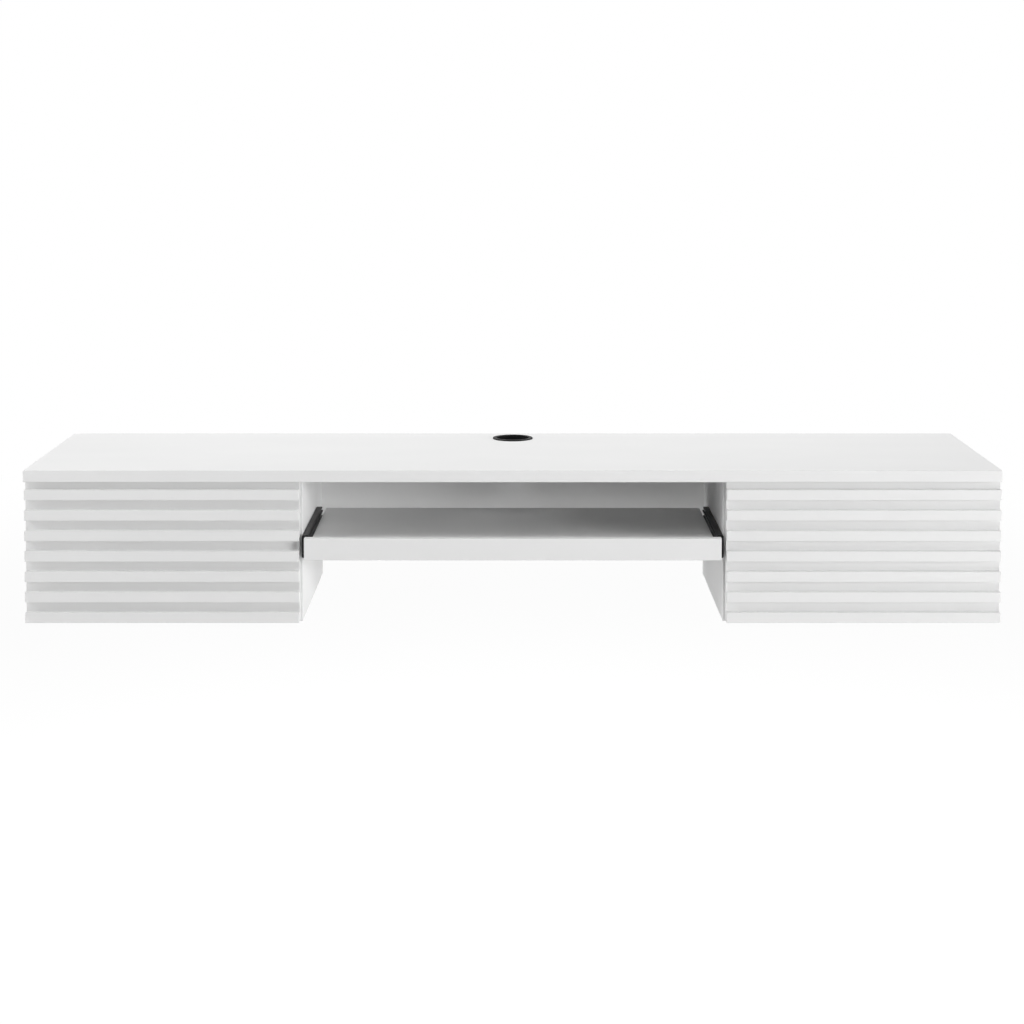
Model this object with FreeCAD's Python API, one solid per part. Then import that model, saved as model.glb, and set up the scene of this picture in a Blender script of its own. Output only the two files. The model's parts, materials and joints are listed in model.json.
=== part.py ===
import FreeCAD, Part
import math
import os

# Floating wall desk: a full-width top on two slat-fronted cabinets, a pull-out keyboard tray between
# them, and a pair of interlocking cleats that hang the desk on the wall. All sizes in millimetres.
# X runs along the wall, the wall is the plane Y = 0, the front faces -Y, and +Z is up. The origin is the
# middle of the row of wall screws, on the wall.

# Top and carcass
DESK_WIDTH = 1500.0
DESK_DEPTH = 394.0
TOP_THICKNESS = 18.0
CARCASS_HEIGHT = 220.8
BAY_WIDTH = 650.0
SIDE_THICKNESS = 16.0
BOTTOM_THICKNESS = 15.0
BACK_THICKNESS = 15.0
RAIL_HEIGHT = 150.0
ARRIS_RADIUS = 1.0
PANEL_ARRIS_RADIUS = 0.5

# Wall hanging
CLEAT_THICKNESS = 12.0
DESK_CLEAT_HEIGHT = 60.0
DESK_CLEAT_END_GAP = 14.0
WALL_CLEAT_HEIGHT = 76.0
WALL_CLEAT_SCREW_EDGE = 32.0
WALL_CLEAT_END_GAP = 44.0
STUD_SPACING = 406.4
WALL_SCREW_COUNT = 4
WALL_HOLE_RADIUS = 3.25
WALL_HEAD_RADIUS = 6.5
SPACER_HEIGHT = 40.0
SPACER_LENGTH = 300.0

# Cable grommet
GROMMET_HOLE_RADIUS = 30.0
GROMMET_RAIL_CLEARANCE = 1.5
GROMMET_FLANGE_WIDTH = 3.5
GROMMET_FLANGE_THICKNESS = 2.0
GROMMET_WALL = 2.8
GROMMET_FIT = 0.2
GROMMET_SKIRT = 17.0

# Slatted doors
DOOR_BOARD_THICKNESS = 15.0
DOOR_TOP_GAP = 1.5
DOOR_END_REVEAL = 1.2
DOOR_BAY_REVEAL = 3.2
DOOR_BACK_GAP = 2.0
DOOR_BOTTOM_RISE = 3.2
SLAT_COUNT = 7
SLAT_DEPTH = 12.0
SLAT_HEIGHT = 15.8
SLAT_ARRIS_RADIUS = 0.7
FINGER_GROOVE = 12.0

# Piano hinges along the bottom of the doors
HINGE_END_GAP = 6.5
HINGE_KNUCKLES = 10
HINGE_BARREL_RADIUS = 2.4
HINGE_BARREL_DROP = 0.2
HINGE_PIN_RADIUS = 1.0
HINGE_PIN_CLEARANCE = 0.05
HINGE_LEAF_THICKNESS = 0.8
HINGE_LEAF_HEIGHT = 13.0
HINGE_CLEARANCE = 0.3
HINGE_SCREWS = 6

# Flap stays
STAY_PIVOT_HEIGHT = 118.0
STAY_PIVOT_INSET = 11.0
STAY_GUIDE_ANGLE = 30.0
STAY_DOOR_ANGLE = 90.0
STAY_ARM_WIDTH = 10.0
STAY_ARM_THICKNESS = 2.0
STAY_EYE_RADIUS = 7.0
STAY_ARM_TAIL = 7.5
STAY_STOP_RADIUS = 3.0
STAY_STOP_HEIGHT = 1.2
STAY_PLATE_THICKNESS = 2.0
STAY_PLATE_LENGTH = 38.0
STAY_PLATE_WIDTH = 16.0
STAY_POST_RADIUS = 3.0
STAY_RIVET_RADIUS = 2.5
STAY_RIVET_HEAD_RADIUS = 4.5
STAY_RIVET_HEAD_THICKNESS = 1.2
STAY_GUIDE_LENGTH = 18.0
STAY_GUIDE_HEIGHT = 17.0
STAY_GUIDE_WALL = 1.6
STAY_BRACKET_LENGTH = 34.0
STAY_BRACKET_WIDTH = 16.0
STAY_SCREW_EDGE = 4.5
STAY_CLEARANCE = 0.4
STAY_SLIDE_CLEARANCE = 0.3
PIVOT_CLEARANCE = 0.05

# Magnetic catches and bumpers
CATCH_WIDTH = 14.0
CATCH_HEIGHT = 34.0
CATCH_LENGTH = 24.0
CATCH_DROP = 12.0
CATCH_GAP = 0.4
STRIKE_THICKNESS = 1.2
BUMPER_RADIUS = 4.0
BUMPER_THICKNESS = 1.6
BUMPER_DROP = 60.0

# Keyboard tray
TRAY_REAR_GAP = 55.0
TRAY_BOARD_THICKNESS = 15.0
TRAY_CLEARANCE = 95.5
TRAY_RAIL_THICKNESS = 16.0
TRAY_RAIL_HEIGHT = 33.5
TRAY_RAIL_RISE = 8.4
TRAY_RAIL_END_GAP = 4.8
TRAY_DOWEL_EDGE = 60.0

# Three-member ball-bearing slides
SLIDE_LENGTH = 250.0
SLIDE_INNER_LENGTH = 226.0
SLIDE_SETBACK = 2.0
SLIDE_HEIGHT = 35.0
SLIDE_THICKNESS = 12.7
SLIDE_SHEET = 1.1
SLIDE_LIP = 1.2
SLIDE_OUTER_REACH = 9.7
SLIDE_OUTER_BALL_RADIUS = 1.95
SLIDE_INNER_BALL_RADIUS = 1.65
SLIDE_BALL_CLEARANCE = 0.05
SLIDE_RUNNING_GAP = 0.3
SLIDE_CAGE_SHEET = 0.4
SLIDE_CAGE_STRIP = 0.6
SLIDE_CAGE_LENGTH = 96.0
SLIDE_CAGE_BALLS = 6
SLIDE_TIP_GAP = 1.7
SLIDE_SCREW_INSETS = (32.0, 96.0, 192.0)

# Fasteners
FASTENER_CLEARANCE = 0.05
CAM_RADIUS = 7.5
CAM_LENGTH = 12.0
CAM_INSET = 34.0
CAM_SLOT_WIDTH = 1.4
CAM_SLOT_LENGTH = 9.0
CAM_SLOT_DEPTH = 1.6
CAM_BOLT_RADIUS = 3.0
CAM_BOLT_HEAD_REACH = 3.0
CAM_THREAD_RADIUS = 2.5
CAM_THREAD_LENGTH = 11.0
DOWEL_RADIUS = 4.0
DOWEL_LENGTH = 30.0
DOWEL_FACE_DEPTH = 10.0
DOWEL_END_GAP = 1.0
JOINT_EDGE = 45.0
DOWEL_SPACING = 32.0
SCREW_RADIUS = 1.6
SCREW_HEAD_RADIUS = 3.2
SCREW_HEAD_THICKNESS = 2.0
SMALL_SCREW_RADIUS = 1.1
SMALL_SCREW_HEAD_RADIUS = 2.0
SMALL_SCREW_LENGTH = 11.0
PANEL_SCREW_LENGTH = 12.0
TRAY_SCREW_LENGTH = 16.0
CLEAT_SCREW_RADIUS = 2.0
CLEAT_SCREW_HEAD_RADIUS = 4.0
CLEAT_SCREW_LENGTH = 24.0
SCREW_RECESS_RADIUS = 1.0
SCREW_RECESS_DEPTH = 0.5

# Reference planes and lines worked out from the sizes above
HALF_WIDTH = DESK_WIDTH / 2
HALF_BAY = BAY_WIDTH / 2
CLEAT_JOINT_Z = WALL_CLEAT_HEIGHT - WALL_CLEAT_SCREW_EDGE
TOP_UNDERSIDE = CLEAT_JOINT_Z + DESK_CLEAT_HEIGHT
CARCASS_FOOT = TOP_UNDERSIDE - CARCASS_HEIGHT
FRONT_Y = -DESK_DEPTH
DOOR_FACE_Y = FRONT_Y + SLAT_DEPTH
DOOR_BACK_Y = DOOR_FACE_Y + DOOR_BOARD_THICKNESS
CARCASS_FRONT_Y = DOOR_BACK_Y + DOOR_BACK_GAP
BACK_REAR_Y = -CLEAT_THICKNESS
BACK_FRONT_Y = BACK_REAR_Y - BACK_THICKNESS
INNER_X0 = HALF_BAY
INNER_X1 = HALF_BAY + SIDE_THICKNESS
OUTER_X0 = HALF_WIDTH - SIDE_THICKNESS
OUTER_X1 = HALF_WIDTH
CABINET_MID_X = (INNER_X1 + OUTER_X0) / 2
DOOR_X0 = HALF_BAY + DOOR_BAY_REVEAL
DOOR_X1 = HALF_WIDTH - DOOR_END_REVEAL
DOOR_FOOT = CARCASS_FOOT + DOOR_BOTTOM_RISE
BOTTOM_TOP = DOOR_FOOT + BOTTOM_THICKNESS
HINGE_X0 = INNER_X1 + HINGE_END_GAP
HINGE_LENGTH = OUTER_X0 - HINGE_END_GAP - HINGE_X0
HINGE_Y = (DOOR_BACK_Y + CARCASS_FRONT_Y) / 2
HINGE_Z = DOOR_FOOT - HINGE_BARREL_RADIUS - HINGE_BARREL_DROP
TRAY_TOP = TOP_UNDERSIDE - TRAY_CLEARANCE
TRAY_MID_Z = TRAY_TOP - TRAY_BOARD_THICKNESS / 2
TRAY_HALF = HALF_BAY - SLIDE_THICKNESS
TRAY_BOARD_FRONT_Y = FRONT_Y + TRAY_RAIL_THICKNESS
SLIDE_FRONT_Y = TRAY_BOARD_FRONT_Y + SLIDE_SETBACK
SMALL = 1e-6


def vec(x, y, z):
    """Return a FreeCAD vector."""
    return FreeCAD.Vector(x, y, z)


X_AXIS = vec(1, 0, 0)
Y_AXIS = vec(0, 1, 0)
Z_AXIS = vec(0, 0, 1)


def block(x0, x1, y0, y1, z0, z1):
    """Return the box between two opposite corners."""
    return Part.makeBox(x1 - x0, y1 - y0, z1 - z0, vec(x0, y0, z0))


def rod(start, direction, radius, length):
    """Return a cylinder that starts at a point and runs along a direction."""
    return Part.makeCylinder(radius, length, start, direction)


def prism(points, push):
    """Return a closed polygon pushed along a vector."""
    return Part.Face(Part.makePolygon(points + [points[0]])).extrude(push)


def bar(centre, along, across, down, length, width, depth):
    """Return a box centred on a point of its top face, lying along any direction."""
    a = along * (length / 2)
    b = across * (width / 2)
    corners = [centre - a - b, centre + a - b, centre + a + b, centre - a + b]
    return prism(corners, down * depth)


def mirrored(shape):
    """Return the shape on the other side of the desk."""
    return shape.mirror(vec(0, 0, 0), X_AXIS)


def rounded(shape, axis, radius, keep):
    """Round the straight edges along an axis whose middle point passes a test."""
    chosen = []
    for edge in shape.Edges:
        span = edge.Vertexes[-1].Point.sub(edge.Vertexes[0].Point)
        if span.Length > SMALL and abs(span.normalize().dot(axis)) > 1 - SMALL and keep(edge.CenterOfMass):
            chosen.append(edge)
    return shape.makeFillet(radius, chosen)


class Assembly:
    """The desk's pieces by name, with the holes that other pieces need in them.

    Everything is placed for the right half of the desk. A paired node has a right and a left node; a
    grouped node holds the right-hand solids and their mirror images together.
    """

    def __init__(self):
        self.pieces = {}
        self.cutters = {}

    def add(self, node, shape):
        """Add one solid to a node."""
        self.pieces.setdefault(node, []).append(shape)

    def add_grouped(self, node, shape):
        """Add a solid and its mirror image to one node."""
        self.add(node, shape)
        self.add(node, mirrored(shape))

    def add_paired(self, node, shape):
        """Add a solid to the right node and its mirror image to the left node."""
        self.add("right_" + node, shape)
        self.add("left_" + node, mirrored(shape))

    def cut(self, node, tool):
        """Take a hole, and its mirror image, out of a node or a pair of nodes."""
        right, left = node, node
        if "right_" + node in self.pieces:
            right, left = "right_" + node, "left_" + node
        self.cutters.setdefault(right, []).append(tool)
        self.cutters.setdefault(left, []).append(mirrored(tool))

    def finished(self, node):
        """Return a node's shape with all its holes."""
        solids = []
        for piece in self.pieces[node]:
            if node in self.cutters:
                piece = piece.cut(self.cutters[node])
            solids.extend(piece.Solids)
        if len(solids) == 1:
            return solids[0]
        return Part.makeCompound(solids)


# Fasteners


def flat_screw(face_point, direction, radius, head_radius, length):
    """Return a countersunk screw whose head is flush at a point, and the hole that takes it."""
    head = head_radius - radius
    screw = Part.makeCone(head_radius, radius, head, face_point, direction)
    screw = screw.fuse(rod(face_point, direction, radius, length)).removeSplitter()
    screw = screw.cut(rod(face_point, direction, SCREW_RECESS_RADIUS, SCREW_RECESS_DEPTH))
    wide = FASTENER_CLEARANCE
    hole = Part.makeCone(head_radius + wide, radius + wide, head, face_point, direction)
    return screw, hole.fuse(rod(face_point, direction, radius + wide, length + wide))


def pan_screw(seat, direction, radius, head_radius, length):
    """Return a pan-head screw seated at a point, and the hole for its shank."""
    head_top = seat - direction * SCREW_HEAD_THICKNESS
    screw = rod(head_top, direction, head_radius, SCREW_HEAD_THICKNESS)
    screw = screw.fuse(rod(seat, direction, radius, length)).removeSplitter()
    screw = screw.cut(rod(head_top, direction, SCREW_RECESS_RADIUS, SCREW_RECESS_DEPTH))
    return screw, rod(seat, direction, radius + FASTENER_CLEARANCE, length + FASTENER_CLEARANCE)


def fit_cam(desk, point, into_edge, mouth, edge_node, face_node, edge_thickness):
    """Join the edge of one panel to the face of another with a cam and its bolt.

    point lies where the middle line of the edge meets the face, into_edge points into the edge panel,
    and mouth is the side of the edge panel that the cam is set into.
    """
    wide = FASTENER_CLEARANCE
    reach = CAM_INSET + CAM_BOLT_HEAD_REACH
    thread_end = point - into_edge * CAM_THREAD_LENGTH
    bolt = rod(point, into_edge, CAM_BOLT_RADIUS, reach)
    bolt = bolt.fuse(rod(thread_end, into_edge, CAM_THREAD_RADIUS, CAM_THREAD_LENGTH)).removeSplitter()
    bolt_hole = rod(point, into_edge, CAM_BOLT_RADIUS + wide, reach + wide)
    cam_face = point + into_edge * CAM_INSET + mouth * (edge_thickness / 2)
    inward = mouth * -1
    across = inward.cross(into_edge)
    cam = rod(cam_face, inward, CAM_RADIUS - wide, CAM_LENGTH).cut(bolt_hole)
    cam = cam.cut(bar(cam_face, into_edge, across, inward, CAM_SLOT_LENGTH, CAM_SLOT_WIDTH, CAM_SLOT_DEPTH))
    cam = cam.cut(bar(cam_face, across, into_edge, inward, CAM_SLOT_LENGTH, CAM_SLOT_WIDTH, CAM_SLOT_DEPTH))
    desk.add_grouped("cam_bolts", bolt)
    desk.add_grouped("cam_housings", cam)
    desk.cut(edge_node, bolt_hole)
    desk.cut(edge_node, rod(cam_face, inward, CAM_RADIUS, CAM_LENGTH + wide))
    hole_start = thread_end - into_edge * wide
    desk.cut(face_node, rod(hole_start, into_edge, CAM_THREAD_RADIUS + wide, CAM_THREAD_LENGTH + wide))


def fit_dowel(desk, point, into_edge, edge_node, face_node, dowel_node):
    """Put a dowel across a joint, from the face of one panel into the edge of another."""
    start = point - into_edge * DOWEL_FACE_DEPTH
    hole = rod(
        start - into_edge * DOWEL_END_GAP,
        into_edge,
        DOWEL_RADIUS + FASTENER_CLEARANCE,
        DOWEL_LENGTH + 2 * DOWEL_END_GAP,
    )
    desk.add_grouped(dowel_node, rod(start, into_edge, DOWEL_RADIUS, DOWEL_LENGTH))
    desk.cut(edge_node, hole)
    desk.cut(face_node, hole)


# Top, carcasses and rail


def build_top(desk):
    """Add the full-width top and the cable grommet through it."""
    top_face = TOP_UNDERSIDE + TOP_THICKNESS
    top = block(-HALF_WIDTH, HALF_WIDTH, FRONT_Y, 0, TOP_UNDERSIDE, top_face)
    top = rounded(top, X_AXIS, ARRIS_RADIUS, lambda mid: mid.y < FRONT_Y / 2)
    top = rounded(top, Y_AXIS, ARRIS_RADIUS, lambda mid: mid.z > top_face - SMALL)
    hole_y = BACK_FRONT_Y - GROMMET_RAIL_CLEARANCE - GROMMET_HOLE_RADIUS
    hole_foot = vec(0, hole_y, TOP_UNDERSIDE)
    desk.add("top_panel", top.cut(rod(hole_foot, Z_AXIS, GROMMET_HOLE_RADIUS, TOP_THICKNESS)))

    skirt_radius = GROMMET_HOLE_RADIUS - GROMMET_FIT
    flange_radius = GROMMET_HOLE_RADIUS + GROMMET_FLANGE_WIDTH
    skirt_foot = vec(0, hole_y, top_face - GROMMET_SKIRT)
    ring = rod(skirt_foot, Z_AXIS, skirt_radius, GROMMET_SKIRT)
    ring = ring.fuse(rod(vec(0, hole_y, top_face), Z_AXIS, flange_radius, GROMMET_FLANGE_THICKNESS))
    ring = ring.cut(
        rod(skirt_foot, Z_AXIS, skirt_radius - GROMMET_WALL, GROMMET_SKIRT + GROMMET_FLANGE_THICKNESS)
    )
    ring = ring.removeSplitter()
    rim_z = top_face + GROMMET_FLANGE_THICKNESS
    rim = [edge for edge in ring.Edges if abs(edge.BoundBox.ZMin - rim_z) < SMALL]
    desk.add("cable_grommet", ring.makeFillet(GROMMET_FLANGE_THICKNESS / 2, rim))


def build_carcasses(desk):
    """Add the sides, bottoms and backs of both cabinets, and the rail between them."""
    outer = block(OUTER_X0, OUTER_X1, CARCASS_FRONT_Y, 0, CARCASS_FOOT, TOP_UNDERSIDE)
    inner = block(INNER_X0, INNER_X1, CARCASS_FRONT_Y, BACK_REAR_Y, CARCASS_FOOT, TOP_UNDERSIDE)
    bottom = block(INNER_X1, OUTER_X0, CARCASS_FRONT_Y, BACK_REAR_Y, DOOR_FOOT, BOTTOM_TOP)
    back = block(INNER_X1, OUTER_X0, BACK_FRONT_Y, BACK_REAR_Y, BOTTOM_TOP, TOP_UNDERSIDE)
    for node, side in (("outer_side", outer), ("inner_side", inner)):
        side = rounded(side, Z_AXIS, PANEL_ARRIS_RADIUS, lambda mid: mid.y < CARCASS_FRONT_Y + SMALL)
        desk.add_paired(node, side)
    desk.add_paired("bottom_panel", bottom)
    desk.add_paired("back_panel", back)
    rail_foot = TOP_UNDERSIDE - RAIL_HEIGHT
    rail = block(-HALF_BAY, HALF_BAY, BACK_FRONT_Y, BACK_REAR_Y, rail_foot, TOP_UNDERSIDE)
    desk.add("centre_back_rail", rail)


def join_carcasses(desk):
    """Join the panels with cams and dowels."""
    front_y = CARCASS_FRONT_Y + JOINT_EDGE
    rear_y = BACK_FRONT_Y - JOINT_EDGE
    down = Z_AXIS * -1
    for y, toward in ((front_y, 1), (rear_y, -1)):
        dowel_y = y + toward * DOWEL_SPACING
        for node, x, into_cabinet in (("outer_side", OUTER_X0, -1), ("inner_side", INNER_X1, 1)):
            mid_x = x - into_cabinet * SIDE_THICKNESS / 2
            mouth = X_AXIS * into_cabinet
            top_point = vec(mid_x, y, TOP_UNDERSIDE)
            fit_cam(desk, top_point, down, mouth, node, "top_panel", SIDE_THICKNESS)
            fit_dowel(desk, vec(mid_x, dowel_y, TOP_UNDERSIDE), down, node, "top_panel", "wooden_dowels")
            floor_z = DOOR_FOOT + BOTTOM_THICKNESS / 2
            fit_cam(desk, vec(x, y, floor_z), mouth, down, "bottom_panel", node, BOTTOM_THICKNESS)
            fit_dowel(desk, vec(x, dowel_y, floor_z), mouth, "bottom_panel", node, "wooden_dowels")
    back_mid_y = (BACK_FRONT_Y + BACK_REAR_Y) / 2
    for z in (BOTTOM_TOP + JOINT_EDGE, TOP_UNDERSIDE - JOINT_EDGE):
        for node, x, into_cabinet in (("outer_side", OUTER_X0, -1), ("inner_side", INNER_X1, 1)):
            toward_back = X_AXIS * into_cabinet
            fit_dowel(desk, vec(x, back_mid_y, z), toward_back, "back_panel", node, "wooden_dowels")
    rail_mid = TOP_UNDERSIDE - RAIL_HEIGHT / 2
    into_rail = X_AXIS * -1
    for z in (rail_mid + RAIL_HEIGHT / 4, rail_mid - RAIL_HEIGHT / 4):
        rail_point = vec(INNER_X0, back_mid_y, z)
        fit_cam(desk, rail_point, into_rail, Y_AXIS, "centre_back_rail", "inner_side", BACK_THICKNESS)
    dowel_point = vec(INNER_X0, back_mid_y, rail_mid)
    fit_dowel(desk, dowel_point, into_rail, "centre_back_rail", "inner_side", "wooden_dowels")


# Cleats


def bevelled_strip(half_length, front_foot, rear_foot, front_head, rear_head):
    """Return a strip against the wall whose foot and head may slope towards it."""
    points = [
        vec(-half_length, BACK_REAR_Y, front_foot),
        vec(-half_length, 0, rear_foot),
        vec(-half_length, 0, rear_head),
        vec(-half_length, BACK_REAR_Y, front_head),
    ]
    return prism(points, X_AXIS * (2 * half_length))


def build_cleats(desk):
    """Add the cleat on the desk, the cleat on the wall, the spacers and the screws between them."""
    desk_half = OUTER_X0 - DESK_CLEAT_END_GAP
    wall_half = OUTER_X0 - WALL_CLEAT_END_GAP
    bevel_foot = CLEAT_JOINT_Z - CLEAT_THICKNESS
    wall_foot = CLEAT_JOINT_Z - WALL_CLEAT_HEIGHT
    desk_cleat = bevelled_strip(desk_half, CLEAT_JOINT_Z, bevel_foot, TOP_UNDERSIDE, TOP_UNDERSIDE)
    wall_cleat = bevelled_strip(wall_half, wall_foot, wall_foot, CLEAT_JOINT_Z, bevel_foot)
    first_x = -STUD_SPACING * (WALL_SCREW_COUNT - 1) / 2
    head = WALL_HEAD_RADIUS - WALL_HOLE_RADIUS
    for index in range(WALL_SCREW_COUNT):
        mouth = vec(first_x + index * STUD_SPACING, BACK_REAR_Y, 0)
        wall_cleat = wall_cleat.cut(rod(mouth, Y_AXIS, WALL_HOLE_RADIUS, CLEAT_THICKNESS))
        wall_cleat = wall_cleat.cut(Part.makeCone(WALL_HEAD_RADIUS, WALL_HOLE_RADIUS, head, mouth, Y_AXIS))
    desk.add("desk_cleat", desk_cleat)
    desk.add("wall_cleat", wall_cleat)

    spacer_x0 = CABINET_MID_X - SPACER_LENGTH / 2
    spacer_x1 = CABINET_MID_X + SPACER_LENGTH / 2
    spacer_head = DOOR_FOOT + SPACER_HEIGHT
    desk.add_grouped("wall_spacers", block(spacer_x0, spacer_x1, BACK_REAR_Y, 0, DOOR_FOOT, spacer_head))
    screw_z = (CLEAT_JOINT_Z + TOP_UNDERSIDE) / 2
    spacer_screw_z = (BOTTOM_TOP + spacer_head) / 2
    places = [
        (HALF_BAY / 2, screw_z, "desk_cleat", "centre_back_rail"),
        (CABINET_MID_X - SPACER_LENGTH / 3, screw_z, "desk_cleat", "back_panel"),
        (CABINET_MID_X + SPACER_LENGTH / 3, screw_z, "desk_cleat", "back_panel"),
        (CABINET_MID_X - SPACER_LENGTH / 3, spacer_screw_z, "wall_spacers", "back_panel"),
        (CABINET_MID_X + SPACER_LENGTH / 3, spacer_screw_z, "wall_spacers", "back_panel"),
    ]
    size = (CLEAT_SCREW_RADIUS, CLEAT_SCREW_HEAD_RADIUS, CLEAT_SCREW_LENGTH)
    for x, z, strip, panel in places:
        screw, hole = flat_screw(vec(x, 0, z), Y_AXIS * -1, *size)
        desk.add_grouped("cleat_screws", screw)
        desk.cut(strip, hole)
        desk.cut(panel, hole)


# Doors


def build_doors(desk):
    """Add each door's backing board and the slats on its face."""
    board = block(DOOR_X0, DOOR_X1, DOOR_FACE_Y, DOOR_BACK_Y, DOOR_FOOT, TOP_UNDERSIDE - DOOR_TOP_GAP)
    board = rounded(board, Z_AXIS, PANEL_ARRIS_RADIUS, lambda mid: mid.y > DOOR_FACE_Y + SMALL)
    desk.add_paired("door_board", board)
    slat_top = TOP_UNDERSIDE - FINGER_GROOVE
    gap = (slat_top - DOOR_FOOT - SLAT_COUNT * SLAT_HEIGHT) / (SLAT_COUNT - 1)
    for index in range(SLAT_COUNT):
        head = slat_top - index * (SLAT_HEIGHT + gap)
        slat = block(DOOR_X0, DOOR_X1, FRONT_Y, DOOR_FACE_Y, head - SLAT_HEIGHT, head)
        slat = rounded(slat, X_AXIS, SLAT_ARRIS_RADIUS, lambda mid: mid.y < FRONT_Y + SMALL)
        desk.add_paired("door_slats", slat)


def hinge_leaf(rear_y, front_y, first_knuckle):
    """Return one leaf of the piano hinge, with every second knuckle."""
    pitch = HINGE_LENGTH / HINGE_KNUCKLES
    axis_start = vec(HINGE_X0, HINGE_Y, HINGE_Z)
    leaf_x1 = HINGE_X0 + HINGE_LENGTH
    leaf = block(HINGE_X0, leaf_x1, front_y, rear_y, HINGE_Z, HINGE_Z + HINGE_LEAF_HEIGHT)
    leaf = leaf.cut(rod(axis_start, X_AXIS, HINGE_BARREL_RADIUS + HINGE_CLEARANCE, HINGE_LENGTH))
    for index in range(first_knuckle, HINGE_KNUCKLES, 2):
        start = HINGE_X0 + index * pitch + HINGE_CLEARANCE / 2
        length = pitch - HINGE_CLEARANCE
        neck_top = HINGE_Z + HINGE_BARREL_RADIUS + 2 * HINGE_CLEARANCE
        knuckle = rod(vec(start, HINGE_Y, HINGE_Z), X_AXIS, HINGE_BARREL_RADIUS, length)
        knuckle = knuckle.fuse(block(start, start + length, front_y, rear_y, HINGE_Z, neck_top))
        leaf = leaf.fuse(knuckle)
    bore = rod(axis_start, X_AXIS, HINGE_PIN_RADIUS + HINGE_PIN_CLEARANCE, HINGE_LENGTH)
    return leaf.cut(bore).removeSplitter()


def build_hinges(desk):
    """Add the piano hinges, their pins and their screws."""
    carcass_leaf = hinge_leaf(CARCASS_FRONT_Y, CARCASS_FRONT_Y - HINGE_LEAF_THICKNESS, 0)
    door_leaf = hinge_leaf(DOOR_BACK_Y + HINGE_LEAF_THICKNESS, DOOR_BACK_Y, 1)
    desk.add_paired("hinge_carcass_leaf", carcass_leaf)
    desk.add_paired("hinge_door_leaf", door_leaf)
    pin_start = vec(HINGE_X0, HINGE_Y, HINGE_Z)
    desk.add_grouped("hinge_pins", rod(pin_start, X_AXIS, HINGE_PIN_RADIUS, HINGE_LENGTH))
    pitch = HINGE_LENGTH / HINGE_SCREWS
    screw_z = (DOOR_FOOT + HINGE_Z + HINGE_LEAF_HEIGHT) / 2
    size = (SMALL_SCREW_RADIUS, SMALL_SCREW_HEAD_RADIUS, SMALL_SCREW_LENGTH)
    for index in range(HINGE_SCREWS):
        x = HINGE_X0 + (index + 0.5) * pitch
        screw, hole = flat_screw(vec(x, CARCASS_FRONT_Y - HINGE_LEAF_THICKNESS, screw_z), Y_AXIS, *size)
        desk.add_grouped("cabinet_screws", screw)
        desk.cut("hinge_carcass_leaf", hole)
        desk.cut("bottom_panel", hole)
        screw, hole = flat_screw(vec(x, DOOR_BACK_Y + HINGE_LEAF_THICKNESS, screw_z), Y_AXIS * -1, *size)
        desk.add_paired("door_screws", screw)
        desk.cut("hinge_door_leaf", hole)
        desk.cut("door_board", hole)


def around_hinge(angle, radius):
    """Return the Y and Z of a point at an angle from straight up, leaning into the cabinet."""
    return (
        HINGE_Y + radius * math.sin(math.radians(angle)),
        HINGE_Z + radius * math.cos(math.radians(angle)),
    )


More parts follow.
